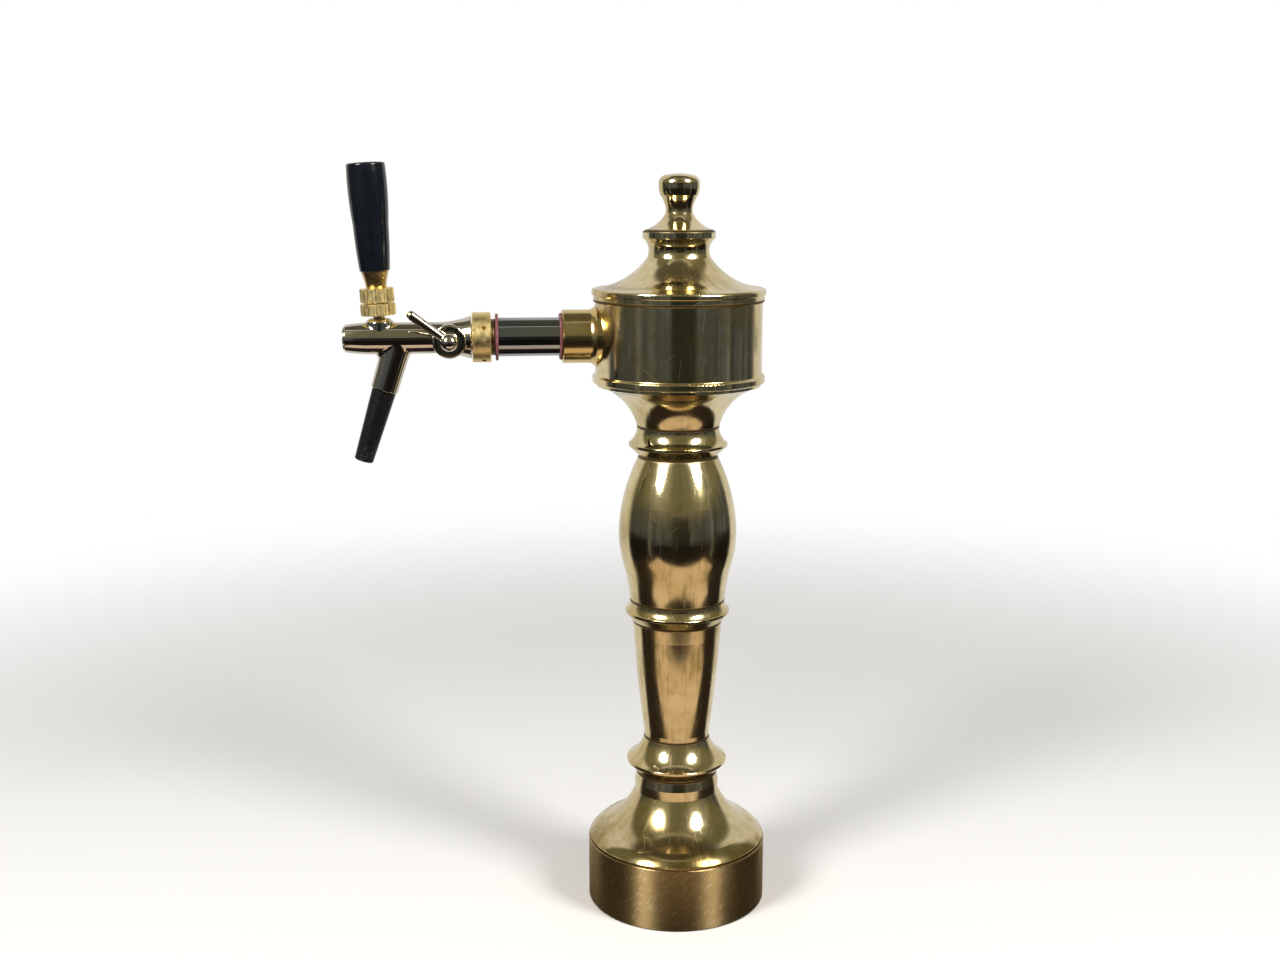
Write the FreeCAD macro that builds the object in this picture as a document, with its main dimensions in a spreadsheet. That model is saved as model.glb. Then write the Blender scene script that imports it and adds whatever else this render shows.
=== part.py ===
import FreeCAD, Part
import math
import os
import types
import Sketcher

# A single-tap draught beer column of turned brass, with a flow-control tap on a side arm.
# Millimetres and degrees. The origin is the centre of the foot, +Z is up, the tap is on the -X side.

Vector = FreeCAD.Vector
X_AXIS = Vector(1, 0, 0)
Y_AXIS = Vector(0, 1, 0)
Z_AXIS = Vector(0, 0, 1)

# Bulges of the turned arcs: height of the arc over half its chord, 1 is a half circle.
# A dome is the arc whose centre lies on the lathe's axis.
FLAT_SWELL = 0.02
GENTLE = 0.053
SHOULDER = 0.064
FULL = 0.072
SOFT = 0.1
BELLY = 0.13
COVE = 0.2
DOME_COVE = 0.225
TRUMPET_COVE = 0.27
NECK_COVE = 0.34
ROUND = 0.41
DOME = "dome"

# Driving sizes, from the foot up and then out along the arm
SIZES = {
    # general fits and walls
    "slip_gap": 0.3,
    "seat_gap": 0.15,
    "bore_radius": 19.5,
    "spigot_radius": 22.0,
    "spigot_height": 3.0,
    "casting_wall": 5.0,
    "edge_round": 0.6,
    # base ring, its gasket and the plate inside it
    "base_ring_radius": 66.5,
    "base_ring_height": 47.0,
    "base_ring_wall": 6.0,
    "gasket_width": 3.0,
    "gasket_thickness": 1.5,
    "ledge_width": 5.5,
    "ledge_thickness": 4.0,
    "plate_thickness": 8.0,
    "bar_bolt_circle": 90.0,
    "bar_bolt_radius": 3.4,
    "bar_bolt_count": 4,
    # pedestal bell
    "bell_height": 52.0,
    "bell_rim_inset": 0.8,
    "bell_rim_thickness": 2.2,
    "bell_hip_radius": 57.0,
    "bell_hip_height": 9.5,
    "bell_waist_radius": 31.2,
    "bell_waist_height": 38.0,
    "bell_neck_height": 7.0,
    "bell_spigot_depth": 4.0,
    # lower knop
    "knop_height": 28.0,
    "knop_foot_radius": 30.0,
    "knop_lip_radius": 37.2,
    "knop_lip_height": 8.6,
    "knop_top_radius": 24.3,
    "lip_thickness": 2.0,
    # lower shaft
    "shaft_height": 90.0,
    "shaft_taper_height": 79.0,
    "shaft_top_radius": 32.0,
    "shaft_straight": 4.0,
    # middle ring
    "ring_height": 16.0,
    "ring_foot_radius": 33.0,
    "ring_lip_radius": 38.3,
    "ring_lip_height": 6.6,
    # baluster vase
    "vase_height": 107.0,
    "vase_foot_radius": 34.9,
    "vase_hip_radius": 39.6,
    "vase_hip_height": 26.0,
    "vase_belly_radius": 43.0,
    "vase_belly_height": 49.0,
    "vase_chest_radius": 40.3,
    "vase_chest_height": 74.0,
    "vase_top_radius": 28.6,
    "vase_land": 8.0,
    # upper collar
    "collar_height": 22.0,
    "collar_lip_radius": 35.7,
    "collar_lip_height": 7.8,
    "collar_neck_radius": 29.8,
    "collar_cove_height": 20.0,
    # neck trumpet
    "trumpet_height": 32.0,
    "trumpet_rim_inset": 0.6,
    "trumpet_rim_height": 2.2,
    "trumpet_land": 6.0,
    # drum
    "drum_radius": 59.6,
    "drum_height": 58.0,
    "drum_wall": 4.0,
    "drum_floor": 4.0,
    "drum_floor_opening": 24.0,
    "drum_plug_depth": 1.2,
    "drum_bead_proud": 2.1,
    "drum_bead_low": 1.0,
    "drum_bead_high": 5.2,
    "drum_lip_proud": 1.1,
    "drum_lip_height": 1.2,
    # lid
    "lid_height": 48.6,
    "lid_step_proud": 1.3,
    "lid_step_height": 3.8,
    "lid_rim_proud": 2.3,
    "lid_rim_height": 3.0,
    "lid_shoulder_proud": 0.6,
    "lid_shoulder_height": 8.5,
    "lid_neck_radius": 22.6,
    "lid_neck_height": 30.0,
    "lid_disc_radius": 25.8,
    "lid_disc_height": 43.8,
    "lid_top_radius": 24.9,
    "lid_spigot_depth": 7.0,
    "lid_wall": 4.0,
    "lid_crown": 9.0,
    "lid_well_radius": 15.0,
    "lid_seal_radius": 1.2,
    # finial
    "finial_height": 39.6,
    "finial_foot_radius": 24.2,
    "finial_stem_radius": 9.6,
    "finial_stem_low": 12.0,
    "finial_stem_high": 16.5,
    "finial_waist_radius": 13.3,
    "finial_waist_height": 24.5,
    "finial_knob_radius": 14.5,
    "finial_knob_height": 32.0,
    "finial_crown_radius": 9.5,
    "finial_crown_height": 38.4,
    "stud_radius": 4.0,
    "stud_grip": 11.0,
    "stud_tail": 9.5,
    # tie rod, its nuts and washers
    "tie_radius": 4.0,
    "tie_end": 2.5,
    "nut_flats": 13.0,
    "nut_thickness": 6.5,
    "tie_washer_radius": 8.0,
    "tie_washer_thickness": 1.5,
    "clamp_plate_radius": 34.0,
    "clamp_plate_thickness": 4.0,
    # beer line inside the column
    "line_radius": 4.75,
    "line_wall": 1.0,
    "line_offset": 14.0,
    "line_end_rise": 1.5,
    "line_gap": 0.75,
    # arm: boss, shank, washers, tube
    "arm_share": 0.569,
    "boss_length": 23.6,
    "boss_radius": 18.85,
    "boss_root_radius": 22.0,
    "boss_root_length": 4.0,
    "shank_radius": 11.3,
    "shank_bore": 5.0,
    "shank_gap": 0.3,
    "shank_tail_radius": 8.0,
    "shank_tail_length": 7.0,
    "shank_flange_radius": 12.75,
    "shank_flange": 3.0,
    "shank_spigot": 6.2,
    "saddle_thickness": 4.6,
    "saddle_radius": 14.8,
    "locknut_flats": 28.5,
    "locknut_thickness": 7.0,
    "tail_nut_flats": 22.0,
    "tail_nut_length": 11.0,
    "washer_thickness": 2.0,
    "washer_radius": 16.5,
    "extension_length": 43.0,
    "extension_radius": 13.55,
    # coupling ring
    "coupling_radius": 17.5,
    "coupling_length": 13.2,
    "coupling_lip": 3.2,
    "coupling_hole_radius": 1.7,
    "coupling_hole_depth": 3.0,
    "coupling_hole_setback": 5.0,
    "coupling_hole_count": 4,
    "coupling_hole_turn": 27.0,
    "coupling_gap": 0.5,
    "coupling_seal": 0.8,
    # tap body
    "tap_flange": 2.8,
    "tap_neck_radius": 9.6,
    "tap_root_radius": 15.0,
    "tap_cone_length": 29.0,
    "barrel_radius": 11.0,
    "barrel_taper": 21.5,
    "barrel_nose_radius": 9.6,
    "chamber_radius": 6.2,
    "inlet_chamber_radius": 7.4,
    "inlet_chamber_length": 27.5,
    "spout_reach": 50.6,
    "spout_angle": 17.8,
    "spout_length": 38.1,
    "spout_root_radius": 10.4,
    "spout_fillet": 3.0,
    "boss_fillet": 1.5,
    "spout_radius": 9.6,
    "spout_bore": 4.2,
    "spout_spigot_radius": 5.7,
    "spout_spigot_length": 15.0,
    "nose_reach": 24.4,
    # valve
    "seat_thickness": 3.5,
    "seat_hole": 4.0,
    "stem_radius": 2.4,
    "stem_head_radius": 5.2,
    "stem_head": 2.5,
    "stem_seal_radius": 5.6,
    "stem_seal": 1.7,
    "yoke_radius": 5.4,
    "yoke_back": 8.2,
    "yoke_front": 11.0,
    "yoke_slot_drop": 2.9,
    "yoke_flat_rise": 0.2,
    "guide_radius": 3.0,
    "guide_length": 9.6,
    "guide_gap": 0.1,
    "plug_length": 8.6,
    "plug_head_radius": 8.2,
    "plug_head": 1.2,
    "plug_wall": 3.0,
    "plug_seal_radius": 7.4,
    # lever and its ball joint
    "pivot_reach": 13.3,
    "pivot_rise": 8.2,
    "lever_lean": 3.1,
    "ball_radius": 7.6,
    "saddle_boss_radius": 9.6,
    "saddle_boss_rise": 3.8,
    "retainer_radius": 8.6,
    "retainer_rise": 0.8,
    "retainer_cone_height": 1.6,
    "retainer_cone_radius": 9.2,
    "retainer_top_radius": 7.4,
    "retainer_hole_radius": 6.75,
    "ball_seat_thickness": 3.0,
    "ball_seat_drop": 3.4,
    "ball_seat_hole": 5.0,
    "finger_radius": 2.3,
    "finger_neck_radius": 1.5,
    "lever_stem_radius": 4.0,
    "lever_stem_length": 58.0,
    "ring_nut_start": 8.0,
    "lower_nut_radius": 12.2,
    "lower_nut_height": 8.1,
    "nut_spacing": 1.0,
    "upper_nut_radius": 11.8,
    "upper_nut_height": 9.6,
    "flute_radius": 2.6,
    "flute_depth": 1.1,
    "flute_count": 10,
    "flute_turn": 18.0,
    "ferrule_height": 11.9,
    "ferrule_low_radius": 6.9,
    "ferrule_top_radius": 9.4,
    "ferrule_lip": 1.0,
    "grip_length": 73.4,
    "grip_low_radius": 10.4,
    "grip_mid_radius": 12.2,
    "grip_mid_height": 32.0,
    "grip_top_radius": 13.2,
    "grip_round": 1.6,
    # flow-control compensator
    "flow_reach": 15.7,
    "flow_drop": 1.5,
    "flow_boss_radius": 11.9,
    "flow_boss_reach": 15.0,
    "flow_boss_round": 1.6,
    "flow_recess_radius": 9.0,
    "flow_recess_bevel": 0.8,
    "flow_recess_depth": 3.0,
    "gland_thickness": 1.6,
    "flow_shaft_radius": 3.1,
    "flow_shaft_start": 7.2,
    "flow_pin_radius": 1.2,
    "flow_pin_offset": 1.8,
    "flow_pin_length": 4.2,
    "flow_ball_radius": 6.4,
    "flow_ball_reach": 19.8,
    "flow_arm_angle": 36.6,
    "flow_arm_length": 31.5,
    "flow_arm_root_radius": 2.5,
    "flow_arm_tip_radius": 3.3,
    "cone_large_radius": 6.7,
    "cone_small_radius": 3.2,
    "cone_length": 11.0,
    "cone_start": 6.6,
    "cone_slot_gap": 0.4,
    # nozzle
    "nozzle_length": 52.4,
    "nozzle_top_radius": 8.5,
    "nozzle_tip_radius": 6.7,
    "nozzle_wall": 2.2,
    "nozzle_socket": 16.0,
}

doc = FreeCAD.newDocument("beer_column")
sheet = doc.addObject("Spreadsheet::Sheet", "Sizes")
for row, (name, amount) in enumerate(SIZES.items(), start=1):
    sheet.set(f"A{row}", name)
    sheet.set(f"B{row}", str(amount))
    sheet.setAlias(f"B{row}", name)
doc.recompute()


class Size:
    """A size of the sheet, or one worked out from several: its number and its expression."""

    def __init__(self, value, text):
        self.value = value
        self.text = text

    def __add__(self, other):
        return Size(self.value + number(other), f"({self.text} + {words(other)})")

    def __radd__(self, other):
        return Size(other + self.value, f"({other} + {self.text})")

    def __sub__(self, other):
        return Size(self.value - number(other), f"({self.text} - {words(other)})")

    def __rsub__(self, other):
        return Size(other - self.value, f"({other} - {self.text})")

    def __mul__(self, other):
        return Size(self.value * number(other), f"({self.text} * {words(other)})")

    def __rmul__(self, other):
        return Size(other * self.value, f"({other} * {self.text})")

    def __truediv__(self, other):
        return Size(self.value / number(other), f"({self.text} / {words(other)})")

    def __rtruediv__(self, other):
        return Size(other / self.value, f"({other} / {self.text})")

    def __neg__(self):
        return Size(-self.value, f"(0 - {self.text})")


def number(amount):
    return amount.value if isinstance(amount, Size) else amount


def words(amount):
    return amount.text if isinstance(amount, Size) else str(amount)


def sine(angle):
    return Size(math.sin(math.radians(number(angle))), f"sin({words(angle)})")


def cosine(angle):
    return Size(math.cos(math.radians(number(angle))), f"cos({words(angle)})")


def root(amount):
    return Size(math.sqrt(number(amount)), f"sqrt({words(amount)})")


size = types.SimpleNamespace(**{name: Size(float(sheet.get(name)), f"Sizes.{name}") for name in SIZES})


def put(thing, x=0, y=0, z=0, axis=Z_AXIS, angle=0):
    """Place an object, with each size of its placement bound to the sheet."""
    base = Vector(number(x), number(y), number(z))
    thing.Placement = FreeCAD.Placement(base, FreeCAD.Rotation(axis, number(angle)))
    for path, amount in (("Base.x", x), ("Base.y", y), ("Base.z", z), ("Rotation.Angle", angle)):
        if isinstance(amount, Size):
            thing.setExpression(f"Placement.{path}", amount.text)
    return thing


def arc_between(start, end, bulge):
    """The arc from start to end that bows to the right of its way by bulge times half its chord."""
    way = end - start
    chord = way.Length
    if bulge == DOME:
        bulge = (chord - abs(way.x)) / abs(way.y)
    right = Vector(way.y, -way.x, 0) / chord
    radius = chord * (1 + bulge * bulge) / (4 * abs(bulge))
    sagitta = abs(bulge) * chord / 2
    side = 1 if bulge > 0 else -1
    centre = (start + end) / 2 - right * side * (radius - sagitta)
    first, last = (start, end) if bulge > 0 else (end, start)
    low = math.atan2(first.y - centre.y, first.x - centre.x)
    high = math.atan2(last.y - centre.y, last.x - centre.x)
    if high < low:
        high += 2 * math.pi
    return Part.ArcOfCircle(Part.Circle(centre, Z_AXIS, radius), low, high)


def outline_sketch(sketch, stations):
    """Draw a closed outline of (across, up, bulge) stations, every one bound to the sheet.

    The bulge belongs to the edge that arrives at its station.
    """
    count = len(stations)
    points = [Vector(number(station[0]), number(station[1]), 0) for station in stations]
    bulges = [station[2] if len(station) > 2 else 0 for station in stations]
    shapes = []
    for index in range(count):
        following = (index + 1) % count
        if bulges[following]:
            shapes.append(arc_between(points[index], points[following], bulges[following]))
        else:
            shapes.append(Part.LineSegment(points[index], points[following]))
    sketch.addGeometry(shapes)
    hollow = [bulge != DOME and bulge < 0 for bulge in bulges]
    leaving = [2 if hollow[(index + 1) % count] else 1 for index in range(count)]
    for index in range(count):
        following = (index + 1) % count
        joint = Sketcher.Constraint("Coincident", index, 3 - leaving[index], following, leaving[following])
        sketch.addConstraint(joint)
    for index, station in enumerate(stations):
        for kind, amount, axis in (("DistanceX", station[0], -2), ("DistanceY", station[1], -1)):
            if number(amount) == 0:
                sketch.addConstraint(Sketcher.Constraint("PointOnObject", index, leaving[index], axis))
                continue
            place = sketch.addConstraint(Sketcher.Constraint(kind, index, leaving[index], number(amount)))
            sketch.setExpression(f"Constraints[{place}]", words(amount))
    for index in range(count):
        following = (index + 1) % count
        bulge = bulges[following]
        if not bulge:
            continue
        if bulge == DOME:
            sketch.addConstraint(Sketcher.Constraint("PointOnObject", index, 3, -2))
            continue
        across = stations[following][0] - stations[index][0]
        up = stations[following][1] - stations[index][1]
        radius = root(across * across + up * up) * ((1 + bulge * bulge) / (4 * abs(bulge)))
        place = sketch.addConstraint(Sketcher.Constraint("Radius", index, number(radius)))
        sketch.setExpression(f"Constraints[{place}]", words(radius))


def plane_of(body, role):
    return next(feature for feature in body.Origin.OriginFeatures if feature.Role == role)


def new_sketch(body, role, name):
    sketch = body.newObject("Sketcher::SketchObject", name)
    sketch.AttachmentSupport = [(plane_of(body, role), "")]
    sketch.MapMode = "FlatFace"
    return sketch


def turned(label, stations):
    """A piece turned in the lathe: its half section swept round its own Z axis."""
    body = doc.addObject("PartDesign::Body", label)
    body.Label = label
    sketch = new_sketch(body, "XZ_Plane", f"{label}_section")
    outline_sketch(sketch, stations)
    turning = body.newObject("PartDesign::Revolution", f"{label}_turning")
    turning.Profile = sketch
    turning.ReferenceAxis = (sketch, ["V_Axis"])
    turning.Angle = 360
    sketch.Visibility = False
    return body


def primitive(kind, label, **measures):
    """A Part primitive whose measures are bound to the sheet."""
    thing = doc.addObject(f"Part::{kind}", label)
    thing.Label = label
    for measure, amount in measures.items():
        setattr(thing, measure, number(amount))
        if isinstance(amount, Size):
            thing.setExpression(measure, amount.text)
    return thing


def fused(label, pieces):
    whole = doc.addObject("Part::MultiFuse", label)
    whole.Label = label
    whole.Shapes = pieces
    whole.Refine = True
    return whole


def cut(label, base, tools):
    tool = tools[0] if len(tools) == 1 else fused(f"{label}_tools", tools)
    result = doc.addObject("Part::Cut", label)
    result.Label = label
    result.Base = base
    result.Tool = tool
    return result


def common(label, first, second):
    result = doc.addObject("Part::Common", label)
    result.Label = label
    result.Base = first
    result.Tool = second
    return result


def tube(label, inner, outer, low, high):
    """A plain turned ring or tube."""
    return turned(label, [(inner, low), (outer, low), (outer, high), (inner, high)])


def eased_tube(label, inner, outer, low, high, ease):
    """A turned ring or tube whose outer edges are broken."""
    return turned(label, [
        (inner, low),
        (outer - ease, low),
        (outer, low + ease),
        (outer, high - ease),
        (outer - ease, high),
        (inner, high),
    ])


def hex_nut(label, flats, bore, low, high):
    """A hexagon nut, padded along its own Z axis and bored through."""
    body = doc.addObject("PartDesign::Body", label)
    body.Label = label
    corner = flats / math.sqrt(3)
    stations = []
    for step in range(6):
        angle = math.radians(60 * step)
        stations.append((corner * round(math.cos(angle), 12), corner * round(math.sin(angle), 12)))
    sketch = new_sketch(body, "XY_Plane", f"{label}_hexagon")
    outline_sketch(sketch, stations)
    sketch.setExpression("AttachmentOffset.Base.z", words(low))
    pad = body.newObject("PartDesign::Pad", f"{label}_pad")
    pad.Profile = sketch
    pad.Length = number(high) - number(low)
    pad.setExpression("Length", words(high - low))
    ring = new_sketch(body, "XY_Plane", f"{label}_bore")
    ring.setExpression("AttachmentOffset.Base.z", words(high))
    ring.addGeometry(Part.Circle(Vector(0, 0, 0), Z_AXIS, number(bore)))
    ring.addConstraint(Sketcher.Constraint("Coincident", 0, 3, -1, 1))
    place = ring.addConstraint(Sketcher.Constraint("Radius", 0, number(bore)))
    ring.setExpression(f"Constraints[{place}]", words(bore))
    pocket = body.newObject("PartDesign::Pocket", f"{label}_hole")
    pocket.Profile = ring
    pocket.Type = "ThroughAll"
    sketch.Visibility = False
    ring.Visibility = False
    return body


def along_arm(thing):
    """Lay a piece so that its own Z axis is the distance out from the column along the arm."""
    return put(thing, z=arm_height, axis=Y_AXIS, angle=-90)


def spigot_above(height):
    """The turned spigot on top of a section, which centres the next one."""
    return [
        (size.spigot_radius, height),
        (size.spigot_radius, height + size.spigot_height),
        (size.bore_radius, height + size.spigot_height),
    ]


def recess_below():
    """The recess under a section, which drops over the spigot of the one below."""
    depth = size.spigot_height + size.slip_gap
    return [
        (size.bore_radius, depth),
        (size.spigot_radius + size.seat_gap, depth),
        (size.spigot_radius + size.seat_gap, 0),
    ]


# Heights of the seams, stacked from the foot
base_top = size.base_ring_height
bell_top = base_top + size.bell_height
knop_top = bell_top + size.knop_height
shaft_top = knop_top + size.shaft_height
ring_top = shaft_top + size.ring_height
vase_top = ring_top + size.vase_height
collar_top = vase_top + size.collar_height
drum_base = collar_top + size.trumpet_height
drum_top = drum_base + size.drum_height
lid_top = drum_top + size.lid_height
arm_height = drum_base + size.drum_height * size.arm_share

# Distances out along the arm
boss_end = size.drum_radius + size.boss_length
tube_start = boss_end + size.washer_thickness
tube_end = tube_start + size.extension_length
shank_flange_start = tube_end + size.washer_thickness
coupling_start = shank_flange_start + size.shank_flange
coupling_end = coupling_start + size.coupling_length
shank_end = coupling_start + size.shank_spigot
tap_start = shank_end + size.coupling_seal
tap_shoulder = coupling_end + size.coupling_gap
tap_cone_end = tap_shoulder + size.tap_cone_length
spout_out = coupling_end + size.spout_reach
pivot_out = spout_out + size.pivot_reach
nose_out = pivot_out + size.nose_reach
flow_out = coupling_end + size.flow_reach
pivot_height = arm_height + size.pivot_rise
flow_height = arm_height - size.flow_drop

nodes = []


def keep(thing):
    nodes.append(thing)
    return thing


# Base ring: thick brushed ring that stands on the bar, with an inner ledge
ring_inside = size.base_ring_radius - size.base_ring_wall
ledge_low = size.plate_thickness
ledge_high = ledge_low + size.ledge_thickness
ledge_radius = ring_inside - size.ledge_width
gasket_inner = ring_inside + (size.base_ring_wall - size.gasket_width) / 2
gasket_outer = gasket_inner + size.gasket_width
keep(turned("base_ring", [
    (gasket_outer, 0),
    (size.base_ring_radius - size.edge_round, 0),
    (size.base_ring_radius, size.edge_round, ROUND),
    (size.base_ring_radius, base_top - size.edge_round),
    (size.base_ring_radius - size.edge_round, base_top, ROUND),
    (ring_inside, base_top),
    (ring_inside, ledge_high),
    (ledge_radius, ledge_high),
    (ledge_radius, ledge_low),
    (ring_inside, ledge_low),
    (ring_inside, 0),
    (gasket_inner, 0),
    (gasket_inner, size.gasket_thickness),
    (gasket_outer, size.gasket_thickness),
]))
keep(tube("foot_gasket", gasket_inner, gasket_outer, 0, size.gasket_thickness))

# Base plate: steel disc under the ledge, flush with the foot, tapped for the tie rod and the bar bolts
plate_blank = eased_tube(
    "base_plate_blank",
    size.tie_radius,
    ring_inside - size.slip_gap,
    0,
    ledge_low,
    size.edge_round,
)
drill_length = size.plate_thickness * 2
drill_start = -size.plate_thickness / 2
plate_drills = []
for step in range(SIZES["bar_bolt_count"]):
    turn = 45 + 360 * step / size.bar_bolt_count
    drill = primitive("Cylinder", f"bar_bolt_drill_{step + 1}", Radius=size.bar_bolt_radius, Height=drill_length)
    arm = size.bar_bolt_circle / 2
    plate_drills.append(put(drill, x=arm * cosine(turn), y=arm * sine(turn), z=drill_start))
line_hole = size.line_radius + size.line_gap
line_drill = primitive("Cylinder", "plate_line_drill", Radius=line_hole, Height=drill_length)
plate_drills.append(put(line_drill, x=-size.line_offset, z=drill_start))
keep(cut("base_plate", plate_blank, plate_drills))

# Pedestal bell: flared casting that drops into the base ring
bell_rim = size.base_ring_radius - size.bell_rim_inset
bell_plug = ring_inside - size.slip_gap
bell_mouth = bell_plug - size.casting_wall
waist_inside = size.bell_waist_radius - size.casting_wall
keep(put(turned("pedestal_bell", [
    (bell_rim - size.edge_round, 0),
    (bell_rim, size.edge_round, ROUND),
    (bell_rim, size.bell_rim_thickness - size.edge_round),
    (bell_rim - size.edge_round, size.bell_rim_thickness, ROUND),
    (size.bell_hip_radius, size.bell_hip_height, SOFT),
    (size.bell_waist_radius, size.bell_waist_height, -COVE),
    (size.bell_waist_radius, size.bell_waist_height + size.bell_neck_height),
    (size.knop_foot_radius, size.bell_height),
    *spigot_above(size.bell_height),
    (size.bore_radius, size.bell_waist_height + size.bell_neck_height),
    (waist_inside, size.bell_waist_height),
    (size.bell_hip_radius - size.casting_wall, size.bell_hip_height - size.casting_wall, COVE),
    (bell_mouth, 0),
    (bell_mouth, -size.bell_spigot_depth),
    (bell_plug, -size.bell_spigot_depth),
    (bell_plug, 0),
]), z=base_top))

# Lower knop: a cove over a sharp lip
knop_lip_top = size.knop_lip_height + size.lip_thickness
keep(put(turned("lower_knop", [
    (size.knop_foot_radius, 0),
    (size.knop_foot_radius, size.lip_thickness / 2),
    (size.knop_lip_radius - size.edge_round, size.knop_lip_height - size.edge_round),
    (size.knop_lip_radius, size.knop_lip_height, ROUND),
    (size.knop_lip_radius, knop_lip_top - size.edge_round),
    (size.knop_lip_radius - size.edge_round, knop_lip_top, ROUND),
    (size.knop_top_radius, size.knop_height, -COVE),
    *spigot_above(size.knop_height),
    *recess_below(),
]), z=bell_top))

# Lower shaft: a slender taper that widens upwards
keep(put(turned("lower_shaft", [
    (size.knop_top_radius, 0),
    (size.knop_top_radius, size.shaft_straight),
    (size.shaft_top_radius, size.shaft_taper_height, FLAT_SWELL),
    (size.ring_foot_radius, size.shaft_height),
    *spigot_above(size.shaft_height),
    *recess_below(),
]), z=knop_top))

# Middle ring
ring_lip_top = size.ring_lip_height + size.lip_thickness
keep(put(turned("middle_ring", [
    (size.ring_foot_radius, 0),
    (size.ring_lip_radius - size.edge_round, size.ring_lip_height - size.edge_round),
    (size.ring_lip_radius, size.ring_lip_height, ROUND),
    (size.ring_lip_radius, ring_lip_top - size.edge_round),
    (size.ring_lip_radius - size.edge_round, ring_lip_top, ROUND),
    (size.vase_foot_radius, size.ring_height - size.edge_round, -COVE),
    (size.vase_foot_radius, size.ring_height),
    *spigot_above(size.ring_height),
    *recess_below(),
]), z=shaft_top))

# Baluster vase: hollow casting, full at the belly
vase_inside = size.vase_belly_radius - size.casting_wall
keep(put(turned("baluster_vase", [
    (size.vase_foot_radius, 0),
    (size.vase_hip_radius, size.vase_hip_height, -GENTLE),
    (size.vase_belly_radius, size.vase_belly_height, FULL),
    (size.vase_chest_radius, size.vase_chest_height, GENTLE),
    (size.vase_top_radius, size.vase_height, SHOULDER),
    *spigot_above(size.vase_height),
    (size.bore_radius, size.vase_height - size.vase_land),
    (vase_inside, size.vase_belly_height, -BELLY),
    (size.bore_radius, size.vase_land, -SOFT),
    *recess_below(),
]), z=ring_top))

# Upper collar
collar_lip_top = size.collar_lip_height + size.lip_thickness
keep(put(turned("upper_collar", [
    (size.vase_top_radius, 0),
    (size.vase_top_radius, size.lip_thickness / 2),
    (size.collar_lip_radius - size.edge_round, size.collar_lip_height - size.edge_round),
    (size.collar_lip_radius, size.collar_lip_height, ROUND),
    (size.collar_lip_radius, collar_lip_top - size.edge_round),
    (size.collar_lip_radius - size.edge_round, collar_lip_top, ROUND),
    (size.collar_neck_radius, size.collar_cove_height, -COVE),
    (size.collar_neck_radius, size.collar_height),
    *spigot_above(size.collar_height),
    *recess_below(),
]), z=vase_top))

# Neck trumpet: flares out to carry the drum
trumpet_edge = size.trumpet_height - size.trumpet_rim_height
trumpet_rim = size.drum_radius - size.trumpet_rim_inset
trumpet_mouth = trumpet_rim - size.casting_wall
keep(put(turned("neck_trumpet", [
    (size.collar_neck_radius, 0),
    (trumpet_rim, trumpet_edge, -TRUMPET_COVE),
    (trumpet_rim, size.trumpet_height),
    (trumpet_mouth, size.trumpet_height),
    (trumpet_mouth, trumpet_edge + size.edge_round),
    (size.collar_neck_radius - size.casting_wall, size.trumpet_land, TRUMPET_COVE),
    (size.bore_radius, size.trumpet_land),
    *recess_below(),
]), z=collar_top))

# Drum: spun shell with a floor, a bead at its foot and a thin lip under the lid
drum_inside = size.drum_radius - size.drum_wall
bead_radius = size.drum_radius + size.drum_bead_proud
lip_radius = size.drum_radius + size.drum_lip_proud
floor_plug = trumpet_mouth - size.seat_gap
drum_blank = put(turned("drum_blank", [
    (bead_radius - size.drum_bead_low, 0),
    (bead_radius, size.drum_bead_low, ROUND),
    (bead_radius, size.drum_bead_high - size.drum_bead_low),
    (bead_radius - size.drum_bead_low, size.drum_bead_high, ROUND),
    (size.drum_radius, size.drum_bead_high + size.drum_bead_low, -ROUND),
    (size.drum_radius, size.drum_height - size.drum_lip_height),
    (lip_radius, size.drum_height - size.drum_lip_height / 2),
    (lip_radius, size.drum_height),
    (drum_inside, size.drum_height),
    (drum_inside, size.drum_floor + size.edge_round),
    (drum_inside - size.edge_round, size.drum_floor, -ROUND),
    (size.drum_floor_opening, size.drum_floor),
    (size.drum_floor_opening, -size.drum_plug_depth),
    (floor_plug, -size.drum_plug_depth),
    (floor_plug, 0),
]), z=drum_base)
shank_clear = size.shank_radius + size.shank_gap
wall_drill = primitive("Cylinder", "drum_wall_drill", Radius=shank_clear, Height=size.drum_radius)
put(wall_drill, x=-size.drum_radius / 2, z=arm_height, axis=Y_AXIS, angle=-90)
keep(cut("drum_shell", drum_blank, [wall_drill]))

# Clamp plate on the drum floor, and the tie rod with its nuts and washers
clamp_low = drum_base + size.drum_floor
clamp_high = clamp_low + size.clamp_plate_thickness
clamp_blank = eased_tube(
    "clamp_plate_blank",
    size.tie_radius + size.slip_gap,
    size.clamp_plate_radius,
    clamp_low,
    clamp_high,
    size.edge_round,
)
clamp_drill = primitive("Cylinder", "clamp_line_drill", Radius=line_hole, Height=size.clamp_plate_thickness * 3)
put(clamp_drill, x=-size.line_offset, z=clamp_low - size.clamp_plate_thickness)
keep(cut("clamp_plate", clamp_blank, [clamp_drill]))

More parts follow.
